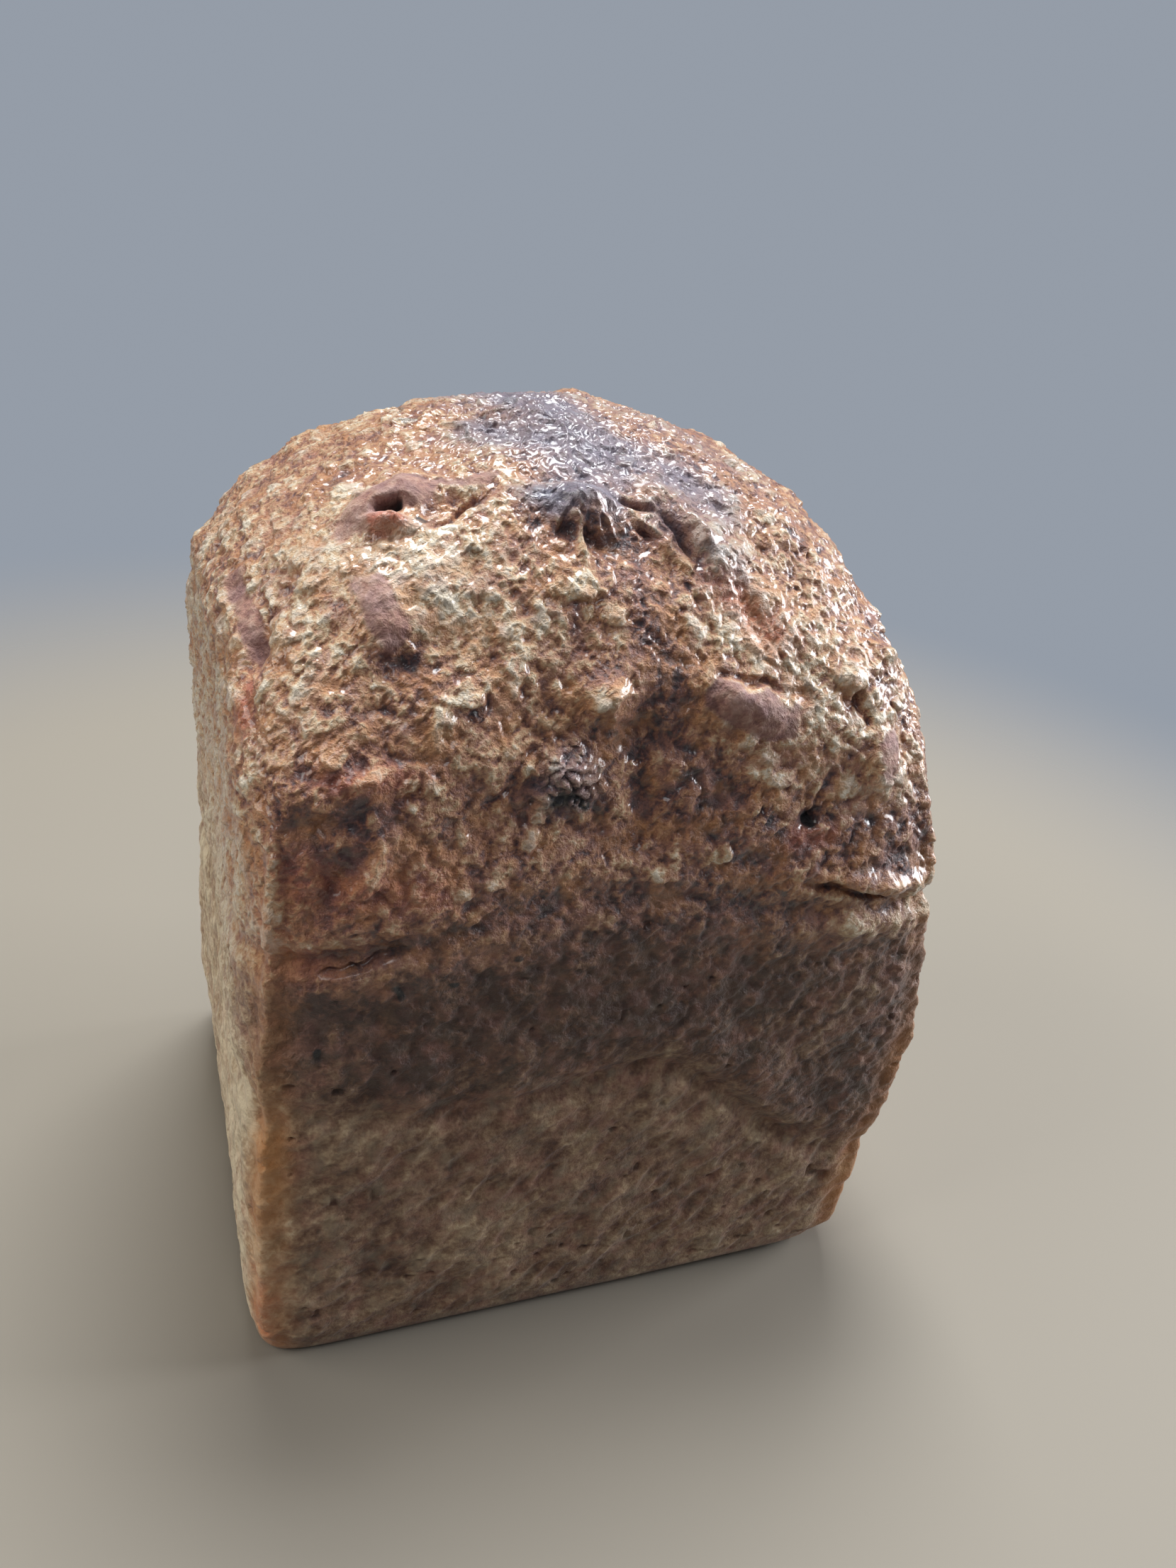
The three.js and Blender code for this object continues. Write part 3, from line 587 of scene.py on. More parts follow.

# %% [markdown]
# ## Stains: where the bake coloured the crust, and painted light and shade
# A loaf browns unevenly. The ridge of the crown is scorched grey, with a painted bluish sheen over it,
# the skin over burst bubbles dries to a smooth mauve brown, the thick corners that touched the tin turn
# to orange gold, and the valleys between crags are the darkest brown, partly as painted shade. The
# cracks, the cave under the knob, hollows, pits and holes are painted dark too, as painted shade, and so
# is a band of the front wall under the dome's shoulder; pale stains on the right of the dome are partly
# painted light. Each stain is a bell round a short line, so a handful of lines paints the loaf from all
# sides. The smooth skins also take away the flakes, so they come first.

# %% Stains along short lines
STAINS = {  # from, to, width, strength
    "scorch": [
        ((-5, 12, 109.5), (-1, -12, 108.5), 5.5, 0.85),
        ((-10, -5, 110), (2, -11, 108.6), 4.0, 0.8),
        ((3, -10, 108), (12, -16, 104.5), 3.8, 0.55),
        ((4.5, -17.5, 104), (13, -22, 99.5), 3.0, 0.32),
        ((-7.6, -16.6, 105), (-1, -17.2, 104.8), 2.2, 1.0),
        ((6, 4, 109), (19, -7, 106), 5.0, 0.22),
    ],
    # char: real charring on the burnt knobs, and painted shade: the cave under the knob, the holes, the slit
    # and the small pits in the wall are painted near black
    "char_and_hole_shade": [
        ((-6.5, -19.6, 102.8), (-1.4, -20.4, 102.1), 1.2, 0.42),
        ((-9.6, -33.6, 79.0), (-4.8, -33.8, 77.6), 0.8, 0.8),
        ((22.3, -35, 74.3), (22.3, -35, 73.5), 0.9, 1.0),
        ((16.9, -7, 107), (18.3, -7.8, 106.3), 0.8, 0.9),
        ((-20, -17.5, 103.8), (-20, -17.5, 103.6), 0.7, 1.0),
        ((-24.4, -15.9, 103.6), (-22.8, -15.9, 104.0), 0.8, 0.75),
        ((-25.1, -36.4, 58.1), (-25.1, -36.4, 57.6), 0.5, 1.0),
        ((-19.1, -36.4, 57.7), (-18.6, -36.4, 57.7), 0.5, 1.0),
        ((-12, -36.5, 60.5), (-12, -36.5, 61), 0.5, 1.0),
        ((-33.2, -35.7, 49.9), (-33.2, -35.7, 50.2), 0.4, 1.0),
    ],
    "mauve": [
        ((-27.2, -15.6, 102.5), (-21.4, -13.8, 105.4), 2.7, 1.0),
        ((-20.3, -14.8, 105.0), (-12.5, -13.4, 107), 1.2, 0.55),
        ((-26.4, -23.4, 97.6), (-25.2, -26.6, 94.6), 2.2, 0.95),
        ((10.0, -30.0, 87.2), (18.4, -31.6, 84.8), 2.2, 1.0),
        ((-38.4, -10.2, 93.7), (-38.2, -19.0, 91), 2.2, 0.7),
        ((32, -31.6, 81), (32, -32.8, 79), 2.2, 0.8),
        ((-1, 20, 106), (6, 26, 101), 3.4, 0.8),
        ((20, 14, 104), (25, 8, 103), 2.8, 0.7),
    ],
    # darker brown: partly the crust's own colour, partly painted shade, as marked line by line
    "dark": [
        ((-26, -15.4, 103.2), (-21.6, -14.8, 105), 1.5, 0.5),
        # partly painted shade: the valley down the middle of the front of the dome
        ((0.6, -30.7, 85.5), (-0.7, -34.5, 74.4), 3.4, 0.45),
        # painted shade inside the crack
        ((6, -19.8, 102.6), (9, -22.5, 99.5), 1.5, 0.7),
        ((-4.6, -28.4, 91), (0.6, -28.4, 91), 2.4, 0.45),
        ((0.5, -25, 96), (6, -31.5, 84.5), 2.8, 0.65),
        # partly painted shade: the valley below the left end of the lozenge
        ((6.5, -33, 80), (9, -34.2, 76), 3.4, 0.75),
        ((-12, -24, 98.5), (-8, -25.6, 96.4), 2.0, 0.4),
        # painted shade in the shallow hollow by the smooth patch
        ((-24.9, -28.4, 92.7), (-22, -29.5, 91.6), 2.2, 0.9),
        # painted shade in the pit at the left corner
        ((-38.3, -21, 89), (-38, -23, 84), 2.4, 0.8),
        ((-36, -33, 80), (-30, -35.5, 70), 3.6, 0.6),
        ((-34, -35.6, 66), (-22, -36.4, 68), 2.6, 0.12),
        ((11, -33.6, 80), (12.4, -34.4, 76), 2.2, 0.6),
        # painted shade in the cave under the scorched knob
        ((-8, -19.5, 102.5), (0, -21.5, 101), 2.8, 0.7),
        ((-30, -36, 55), (-20, -36, 49), 4.0, 0.30),
        ((28, -36, 34), (40, -34, 30), 2.2, 0.40),
        # partly painted shade: the upper front wall, which faces away from the light, is darker here; partly
        # its own darker crust
        ((-10, -36.4, 56), (20, -36.4, 52), 7.0, 0.35),
        ((-32, -35.6, 26), (-20, -35.5, 10), 7.0, 0.35),
        # partly painted shade: a dark band on the front wall just under the dome's shoulder, on this line and
        # the next three; partly its own dark brown crust
        ((14, -36.2, 66), (30, -36, 68), 4.0, 0.4),
        ((14, -35.6, 71), (36, -35.2, 69), 3.8, 0.5),
        ((-10, -35.8, 70), (12, -35.8, 70), 3.4, 0.25),
        ((-24, -36.4, 66), (10, -36.4, 68), 3.0, 0.35),
    ],
    "ember": [
        ((-25.4, -17.4, 102.5), (-22.4, -17.8, 102.9), 0.9, 1.0),
        ((-31, -32.5, 82), (-25, -34, 82), 1.8, 0.5),
        ((-38.5, -22, 87), (-38.5, -24, 84), 1.6, 0.7),
        ((12, -24, 97), (17, -27, 93), 2.4, 0.7),
        ((-36, -35, 72), (-22, -36, 70), 3.2, 0.42),
        ((20, -34.6, 72), (25, -34.8, 72), 1.2, 0.6),
        ((26, 10, 102), (32, 4, 96), 3.0, 0.5),
        ((-38, -34, 66), (-34, -35.6, 62), 3.0, 0.35),
        ((-39.8, -35, 3), (-39.8, -35, 14), 2.4, 0.4),
    ],
    "pale": [
        ((-40.5, -33, 65), (-30, -36.2, 64), 2.2, 0.8),
        ((38, -35, 62), (45, -29, 58), 2.2, 1.0),
        ((44.5, -30, 66), (45.5, -20, 62), 2.4, 0.7),
        ((-31, -17, 100), (-10, -25, 99), 6.0, 0.75),
        ((-30, -27, 93), (-12, -31, 88), 4.5, 0.35),
        ((12, -20, 101), (26, -27, 92), 5.5, 0.55),
        ((28, -24, 94), (30, -12, 100), 4.0, 0.4),
        ((8, 2, 109), (22, -8, 105), 5.0, 0.5),
        # partly painted light: the right of the dome, which the light from the right grazes, is painted paler
        # here and on the next line
        ((15, -27.5, 93), (31, -30, 84), 6.0, 1.0),
        ((14, -33, 82), (33, -32, 78), 5.0, 0.95),
        ((-41, -28, 6), (-41, -28, 46), 5.0, 0.6),
        ((19.4, -5.6, 106.3), (21, -3, 106), 1.8, 0.8),
        ((24.4, -34.6, 74.6), (24.6, -34.5, 75.4), 0.9, 1.0),
        ((11, -30.3, 87.2), (18, -31.4, 85.2), 1.6, 0.6),
        ((26.9, -29.6, 88.6), (26.5, -31.0, 86), 1.4, 0.8),
        ((33.6, -25.5, 90), (34, -26, 88), 1.8, 0.7),
    ],
}


def stain(p, lines):
    """The strongest of several bells, each of the distance from a line between two points."""
    field = np.zeros(p.shape[:-1])
    for start, end, width, strength in lines:
        a, b = np.array(start, float), np.array(end, float)
        t = np.clip(((p - a) @ (b - a)) / max((b - a) @ (b - a), 1e-9), 0, 1)
        gap = np.linalg.norm(along_skin(p - (a + t[..., None] * (b - a))), axis=-1)
        field = np.maximum(field, strength * bell(gap, width))
    return field


# %% Lay the stains on the net
STAIN_STRAY = 1.6  # times the straying of the marks' borders

scorch, char_and_hole_shade, mauve, dark, ember, pale = (
    stain(even + STAIN_STRAY * wander, lines) for lines in STAINS.values())
ragged = 0.5 * noise(even, 1.6, 151) + 0.35 * noise(even, 0.8, 153)
smooth_skin = smooth(0.30, 0.52, mauve * (1 + 0.6 * ragged))
print("stained shares:", {name: round(float((field > 0.4).mean()), 3) for name, field in
                          zip(STAINS, (scorch, char_and_hole_shade, mauve, dark, ember, pale))})

# %% [markdown]
# ## Fine relief: flakes, blisters and crumbs
# The free crust broke into rounded clumps of two to four millimetres, parted by narrow creases, and a
# finer crumple of dried skin runs over them. Here and there stands a little hood, held at its upper
# edge and lifted at its lower one, because the dough kept rising under the first skin. The relief is
# then pulled down the slope a little, so that the hoods hang over the gaps below. The tin wall has only
# low crumbs, pores and slanting streaks.

# %% Clumps, crinkles and hoods
CLUMPS = [(3.6, 0.28, 17.0), (1.7, 0.28, 23.0)]  # width, height and offset of each size of clump
CRINKLES = [(1.4, 0.27, 37.0), (0.8, 0.22, 41.0)]
HOOD_WIDTH, HOOD_HEIGHT, HOOD_SHARE, HOOD_OFFSET = 2.8, 0.45, 0.14, 13.0
TURN = np.array(Euler((0.7, 0.4, 1.1)).to_matrix())  # lays the lattice aslant, so that no layer shows

turned, turned_upward = even @ TURN, upward @ TURN


def bent(p, width, offset, amount):
    """The points moved about by noise, so that whatever is drawn at them wanders."""
    return p + amount * width * np.stack([noise(p, width * 1.4, offset + n) for n in (1, 2, 3)], -1)


def clumped(p, width, offset):
    """Height from 0 to 1 of rounded clumps parted by narrow creases: the noise's size without its sign,
    raised to full height early and rounded by a power."""
    return np.minimum(1, 1.9 * np.abs(noise(bent(p, width, offset, 0.6), width, offset))) ** 0.75


def crinkled(p, width, offset):
    """Height from 0 to 1 of crumpled skin: noise folded at zero, squared so that crests are sharp."""
    return (0.5 + 0.5 * ridged(bent(p, width, offset, 0.5), width, offset)) ** 2


def hoods(p, width, offset, share):
    """Height from 0 to 1 of scattered hoods: on that share of patches, a swelling times a rise away
    from the upper edge, cut off along the border."""
    way, near, gap, level, kind = patches(bent(p, width, offset, 0.3), width, offset)
    lift = 0.75 - 0.45 * (way * turned_upward).sum(-1)
    body = smooth(0.0, 0.22, gap) * np.clip(1 - (near / (0.45 + 0.3 * kind)) ** 2, 0, 1) ** 0.5
    return np.clip(body * lift, 0, 1.2) * (level < share)


# %% Where the crust flakes, and how
LOOSE_WALL = 0.50  # how flaky the wall is above the fold, against 1 on the dome
SMOOTHED = 0.7  # share of the flakes that a smooth skin takes away

above_fold = smooth(-1.0, 6.0, even[..., 2] - fold_height(even))
crusty = smooth(-12.0, 8.0, even[..., 2] - rim_line(even))
flaky = mix(LOOSE_WALL * above_fold, 1.0, crusty) * (1 - SMOOTHED * smooth_skin)
drifts = smooth(-0.35, 0.35, noise(even, 7.0, 61))  # clumps stand in drifts with calmer crust between
clump_heights = [clumped(turned, width, offset) for width, height, offset in CLUMPS]
clump = sum(c[1] * (h - 0.5) for c, h in zip(CLUMPS, clump_heights))
crinkle = sum(height * (crinkled(turned, width, offset) - 0.35) for width, height, offset in CRINKLES)
hood = hoods(turned, HOOD_WIDTH, HOOD_OFFSET, HOOD_SHARE)
print("hoods cover", round(float((hood > 0.1).mean()), 2), "of the net")

# %% [markdown]
# The tin wall could not rise freely, so it has no flakes. The dough slid up the tin, which left slanting
# streaks: noise that is stretched along one direction, because points along it are drawn together.

# %% Crumbs and streaks of the tin wall
STREAK_WAY = unit(np.array([0.66, 0.42, 0.62]))
STREAK_HEIGHT, CRUMB_HEIGHTS = 0.25, (0.08, 0.24)  # mm; crumbs are low below the fold, higher above it
PORE_HEIGHT, SWELL_HEIGHT, SKIN_HEIGHT = -0.50, 0.22, 0.14  # the last is that of crumbs on smooth skins

along_streak = (even @ STREAK_WAY)[..., None] * STREAK_WAY
streaks = ridged(even - 0.78 * along_streak, 1.8, 71) + 0.6 * noise(even - 0.7 * along_streak, 3.4, 73)
crumbs = noise(even, 1.5, 83) + 0.7 * noise(even, 0.85, 87)
pores = smooth(0.62, 0.80, noise(even * np.array([0.8, 0.8, 1.2]), 1.25, 91)) * drifts
wall = (1 - crusty) * (1 - smooth_skin)
fainter = 1 - 0.6 * above_fold  # the streaks fade above the fold
wall_fine = (STREAK_HEIGHT * streaks * fainter + mix(*CRUMB_HEIGHTS, above_fold) * crumbs
             + PORE_HEIGHT * pores + SWELL_HEIGHT * noise(even, 4.5, 97))
print("pores cover", round(float((pores > 0.5).mean()), 3), "of the net")

# %% [markdown]
# One cluster on the front of the dome burnt through: its clumps are finer, with charred creases. Then all
# the relief is raised along the outward directions of the net, and the higher parts are pulled down the
# slope, so that the hoods hang.

# %% Raise the relief and let the hoods hang
HANG = 0.6  # share of the height over HANG_FROM that a flake is pulled down the slope
HANG_FROM = 0.1  # mm
DRIFT_SHARES = (0.6, 1.1)  # how high clumps stand between the drifts, and in them
BURNT_AT, BURNT_RADIUS = np.array([-7.2, -33.3, 80.2]), 4.0
BURNT_CLUMPS, BURNT_HEIGHT, BURNT_SINK = (0.85, 137.0), 0.75, 0.25  # width and offset; mm up, mm down
BURNT_CHAR, BURNT_SCORCH = 0.62, 0.32  # strengths of these stains on the cluster

burnt = np.exp(-(np.linalg.norm(even + wander - BURNT_AT, axis=-1) / BURNT_RADIUS) ** 4)
burnt_clumps = clumped(turned, *BURNT_CLUMPS)
flake_part = mix(*DRIFT_SHARES, drifts) * clump + crinkle + HOOD_HEIGHT * hood
fine = (flaky * flake_part + wall * wall_fine + SKIN_HEIGHT * smooth_skin * crumbs
        + burnt * (BURNT_HEIGHT * burnt_clumps - BURNT_SINK)) * fade_in
char_and_hole_shade = np.maximum(char_and_hole_shade, BURNT_CHAR * burnt * (1 - smooth(0.15, 0.50, burnt_clumps)))
scorch = np.maximum(scorch, BURNT_SCORCH * burnt)
hang = HANG * np.maximum(0, fine - HANG_FROM) * flaky
crust = even + outward * (broad + carved + fine)[..., None] - upward * hang[..., None]
crown = np.array([*CROWN_SHIFT, crust[-1, :, 2].mean()])  # closes the small hole in the last row
print("fine relief, mm:", round(float(fine.min()), 2), "to", round(float(fine.max()), 2))

# %% [markdown]
# ## How brown each point is, painted light and shade included
# Peaks of the crust are paler gold and the gaps between flakes dark and reddish, so the colour follows
# the relief: partly the crust's own tone, as peaks dry and bleach, and partly painted light on the peaks
# and painted shade in the gaps. Whether a point is a peak or a gap shows from its height against the mean
# of its neighbourhood. On top of that comes the even browning: palest on the side that the tin covered
# best, darkest on the shoulder of the front.

# %% Peaks and gaps
PEAK_REACH, PEAK_HEIGHT = 8, 0.35  # net points to each side, and mm over their mean, of a full peak


def neighbourhood(field, reach):
    """Mean over a square of the net, 2 * reach + 1 on a side, from running sums along both ways."""
    wide = np.concatenate([field[:, -reach - 1:], field, field[:, :reach]], 1).cumsum(1)
    field = (wide[:, 2 * reach + 1:] - wide[:, :-2 * reach - 1]) / (2 * reach + 1)
    tall = np.concatenate([np.repeat(field[:1], reach + 1, 0), field, np.repeat(field[-1:], reach, 0)])
    tall = tall.cumsum(0)
    return (tall[2 * reach + 1:] - tall[:-2 * reach - 1]) / (2 * reach + 1)


total = broad + carved + fine
peak = np.clip((total - neighbourhood(total, PEAK_REACH)) / PEAK_HEIGHT, -1, 1)
print("full peaks:", round(float((peak == 1).mean()), 2), "of the net")

# %% Browning of the crust
x, y, z = np.moveaxis(even, -1, 0)
front, left_side = smooth(-20, -34, y), smooth(-34, -40, x)
brown = mix(0.40, 0.46, dome) + 0.13 * bell(z - 78, 12) * front  # the shoulder of the front is darkest
# partly painted shade: the front wall faces away from the light and is darker, most above the fold under the
# dome's shoulder; partly its own browner crust
brown += (0.13 + 0.30 * above_fold) * wall * front  # the front wall is darker too, most above the fold
brown -= 0.26 * left_side * (1 - smooth(80, 96, z))  # the left side stayed pale,
brown -= 0.15 * smooth(0, -30, x) * dome * smooth(88, 100, z)  # and so did the left of the crown
brown += 0.14 * noise(even, 15, 101) + 0.12 * noise(even, 5, 103)  # broad and small drifts
# hoods are paler for their thin dry skin; the tops of the large clumps are paler and their hollows darker,
# partly as painted light and shade
brown -= flaky * (0.22 * smooth(0.05, 0.5, hood) + 0.12 * (clump_heights[0] - 0.5))  # dry hoods and clumps
# paler on peaks and darker in gaps: partly the crust's tone, partly painted light and painted shade
brown -= peak * mix(0.08, 0.26, flaky)
# the dark stains are partly painted shade in valleys, a crack, the cave, a hollow, a pit and under the dome's
# shoulder; the pale stains on the right of the dome are partly painted light
brown += 0.42 * dark - 0.36 * pale
# pores are painted darker, as painted shade in them
brown += 0.20 * pores * wall - 0.045 * streaks * wall * fainter
brown = np.clip(brown, 0, 1)

# %% Gold corners, and all that the finish needs to know
gold = smooth(0.84, 0.98, aslant) * mix(1, 0.45, smooth(34, 50, z)) * (1 - smooth(62, 74, z))
gold = gold * (0.7 + 0.3 * noise(even, 6, 107))
fields = {"brown": brown, "peak": 0.5 + 0.5 * peak, "flaky": flaky, "scorch": scorch, "char_and_hole_shade": char_and_hole_shade,
          "mauve": smooth_skin, "gold": np.clip(gold, 0, 1), "ember": ember, "wall": wall}
print("mean browning:", round(float(brown.mean()), 2))

# %% [markdown]
# ## The crust's finish
# Crust is dry and matt where the tin held it, and slightly glossy on the blistered skin of the dome,
# where starch baked to a glaze. Its colour is built up as the oven built it: first the browning worked
# out above with finer mottling, then soft tints, and the stains over them. A material is a web of small
# nodes, so a few helpers come first that add one node each.

# %% Helpers for materials


def linear(r, g, b):
    """A colour given in the 0 to 255 numbers of a screen, as the linear values that shaders use."""
    s = np.array([r, g, b]) / 255
    return (*np.where(s <= 0.04045, s / 12.92, ((s + 0.055) / 1.055) ** 2.4).tolist(), 1.0)


class Nodes:
    """Adds nodes to one material and links them: a socket given as an output is linked, a number is set."""

    def __init__(self, name):
        self.material = bpy.data.materials.new(name)
        self.material.use_nodes = True
        self.tree = self.material.node_tree
        self.shader = self.tree.nodes["Principled BSDF"]

    def put(self, socket, value):
        """Links the socket to another node's output, or sets it to a number or a colour."""
        if isinstance(value, bpy.types.NodeSocket):
            self.tree.links.new(value, socket)
        else:
            socket.default_value = value

    def add(self, kind, inputs, out=0, **settings):
        """A node of any kind: settings are its own, inputs go to its sockets by name or number."""
        made = self.tree.nodes.new(kind)
        for name, value in settings.items():
            setattr(made, name, value)
        for name, value in inputs.items():
            self.put(made.inputs[name], value)
        return made.outputs[out]

    def field(self, name):
        """One of the numbers kept for each point of the mesh."""
        return self.add("ShaderNodeAttribute", {}, "Fac", attribute_name=name)

    def math(self, operation, a, b=0.0, clamp=False):
        """Two values added, subtracted or the like, held between 0 and 1 if clamp is set."""
        return self.add("ShaderNodeMath", {0: a, 1: b}, operation=operation, use_clamp=clamp)

    def times(self, a, b, clamp=False):
        """One value multiplied by another."""
        return self.math("MULTIPLY", a, b, clamp)

    def blend(self, share, a, b):
        """The colour that lies the share of the way from a to b."""
        made = self.tree.nodes.new("ShaderNodeMix")
        made.data_type = "RGBA"
        self.put(made.inputs[0], share)
        self.put(made.inputs[6], a)
        self.put(made.inputs[7], b)
        return made.outputs[2]

    def noise(self, where, size_mm, detail=3.0, rough=0.55):
        """Noise from 0 to 1 whose largest lumps are about size_mm across."""
        return self.add("ShaderNodeTexNoise", {"Vector": where, "Scale": 1 / (size_mm * MM), "Detail": detail,
                                               "Roughness": rough}, "Fac")

    def stretch(self, value, low, high, to_low=0.0, to_high=1.0):
        """Maps low to to_low and high to to_high in a straight line, and holds the ends."""
        return self.add("ShaderNodeMapRange", {"Value": value, "From Min": low, "From Max": high,
                                               "To Min": to_low, "To Max": to_high}, clamp=True)

    def ramp(self, value, stops):
        """A colour read from a row of colours, each at its place from 0 to 1."""
        made = self.tree.nodes.new("ShaderNodeValToRGB")
        while len(made.color_ramp.elements) < len(stops):
            made.color_ramp.elements.new(0.5)
        for element, (place, color) in zip(made.color_ramp.elements, stops):
            element.position, element.color = place, color
        self.put(made.inputs["Fac"], value)
        return made.outputs["Color"]


# %% [markdown]
# Up close no square millimetre of crust has one colour. Noise of three sizes gives the mottling, and a
# cell pattern that is bent by noise gives creases like those of crumpled foil. Their sum is a relief that
# is too fine for the net. It is used twice: the bump raises it, and the colour is painted paler on its
# tops and darker in its gaps, as painted light and painted shade.

# %% Grain of the crust
COARSE, MIDDLE, FINE, FOIL = 3.2, 1.2, 0.62, 1.35  # mm across
FOIL_BEND, FOIL_BEND_SIZE = 1.4, 1.5  # mm that the creases bend, and mm across of the noise that bends them


def crust_grain(n, where):
    """The noises, the relief of fine noise and creases, the grain's painted light and shade (over 0 in
    its gaps, painted shade, and under 0 on its tops, painted light), and the mottling of browning with
    that painted light and shade: coarse, middle and the grain's painted light and shade, added up."""
    coarse, middle = n.noise(where, COARSE), n.noise(where, MIDDLE)
    bend = n.add("ShaderNodeTexNoise",
                 {"Vector": where, "Scale": 1 / (FOIL_BEND_SIZE * MM), "Detail": 2.0}, "Color")
    bent = n.add("ShaderNodeVectorMath", {0: bend, 1: (FOIL_BEND * MM,) * 3, 2: where},
                 operation="MULTIPLY_ADD")
    foil = n.add("ShaderNodeTexVoronoi", {"Vector": bent, "Scale": 1 / (FOIL * MM), "Detail": 2.0,
                                          "Roughness": 0.62, "Lacunarity": 2.2}, "Distance", normalize=True)
    relief = n.math("ADD", n.times(n.noise(where, FINE, 5.0, 0.62), 0.6), n.times(foil, 0.75))
    # painted light and shade of the grain: paler colour on the relief's tops, darker in its gaps
    grain_light_and_shade = n.stretch(relief, 0.36, 0.78, 0.38, -0.42)
    mottle_and_grain_shade = n.math("ADD", n.stretch(coarse, 0.3, 0.7, -0.16, 0.16), n.stretch(middle, 0.3, 0.7, -0.12, 0.12))
    mottle_and_grain_shade = n.math("ADD", mottle_and_grain_shade, n.times(grain_light_and_shade, n.stretch(n.field("flaky"), 0, 1, 0.6, 1)))
    return {"coarse": coarse, "middle": middle, "foil": foil, "relief": relief, "grain_light_and_shade": grain_light_and_shade,
            "mottle_and_grain_shade": mottle_and_grain_shade}


# %% [markdown]
# Browning runs through one row of colours, from cream over gold and red brown to purple brown, and the
# tin wall has a duller row of its own. Real crust strays from such a row: here and there it is olive,
# rosy or amber. So these tints are laid on in soft drifts.

# %% Browning and tints
DOME_RAMP = [
    (0.00, linear(232, 216, 192)), (0.20, linear(216, 184, 144)), (0.42, linear(192, 139, 99)),
    (0.62, linear(150, 94, 66)), (0.82, linear(102, 58, 52)), (1.00, linear(60, 39, 44)),
]
WALL_RAMP = [
    (0.00, linear(222, 204, 172)), (0.25, linear(182, 156, 124)), (0.50, linear(142, 112, 86)),
    (0.75, linear(106, 72, 53)), (1.00, linear(70, 44, 33)),
]
OLIVE = linear(146, 134, 112)
# each tint comes as a paler colour, painted light on the tops of the grain, and a darker one, painted shade
# in its gaps
ROSY = linear(178, 122, 104), linear(104, 58, 52)  # on the tops of the grain, and in its gaps
AMBER = linear(200, 136, 80), linear(116, 60, 44)


def browned(n, grain):
    """The browning of each point plus the mottling with the grain's painted light and shade, read from the
    dome's row of colours or the wall's.
    """
    brown = n.math("ADD", n.field("brown"), grain["mottle_and_grain_shade"], clamp=True)
    return n.blend(n.field("wall"), n.ramp(brown, DOME_RAMP), n.ramp(brown, WALL_RAMP))


def drift(n, where, place, size_mm, low, high, most):
    """Noise moved to a place of its own, as a share: 0 where it is under low, `most` where over high."""
    moved = n.add("ShaderNodeMapping", {"Vector": where, "Location": place})
    return n.stretch(n.noise(moved, size_mm), low, high, 0.0, most)


def tinted(n, where, grain, color):
    """Olive drifts where nothing flakes, then rosy and amber ones, mostly where the crust does flake."""
    flaky, grain_light_and_shade = n.field("flaky"), grain["grain_light_and_shade"]
    olive = drift(n, where, (0.3, 0.1, 0.7), 2.4, 0.48, 0.68, 0.45)
    rosy = drift(n, where, (0.9, 0.5, 0.2), 3.0, 0.47, 0.68, 0.55)
    amber = drift(n, where, (0.2, 0.8, 0.4), 3.6, 0.49, 0.64, 0.65)
    color = n.blend(n.times(olive, n.stretch(flaky, 0.0, 0.75, 1.0, 0.0)), color, OLIVE)
    # the rosy and amber drifts are paler on the grain's tops and darker in its gaps: painted light and
    # painted shade
    color = n.blend(n.times(rosy, n.stretch(flaky, 0.4, 1.0, 0.5, 1.0)), color, n.blend(grain_light_and_shade, *ROSY))
    return n.blend(n.times(amber, n.stretch(flaky, 0.45, 1.0)), color, n.blend(grain_light_and_shade, *AMBER))


# %% Stains over the colour, with painted light, sheen and shade
ORANGE_GOLD, EMBER = linear(188, 122, 56), linear(196, 104, 72)
MAUVE = linear(180, 134, 128), linear(98, 58, 60)  # pale and dark
# the gap colour is scorch; the paler, bluer peak colour is scorch with a painted bluish sheen
SCORCHED_AND_SHEEN = linear(54, 46, 56), linear(108, 108, 126)  # in the gaps, and on the peaks
# a lilac-grey haze, partly scorch colour and partly a painted bluish sheen, and near black char, which also
# stands for the painted shade of holes
SMOKE_AND_SHEEN, CHARRED_AND_HOLE_SHADE = linear(126, 122, 142), linear(30, 25, 26)


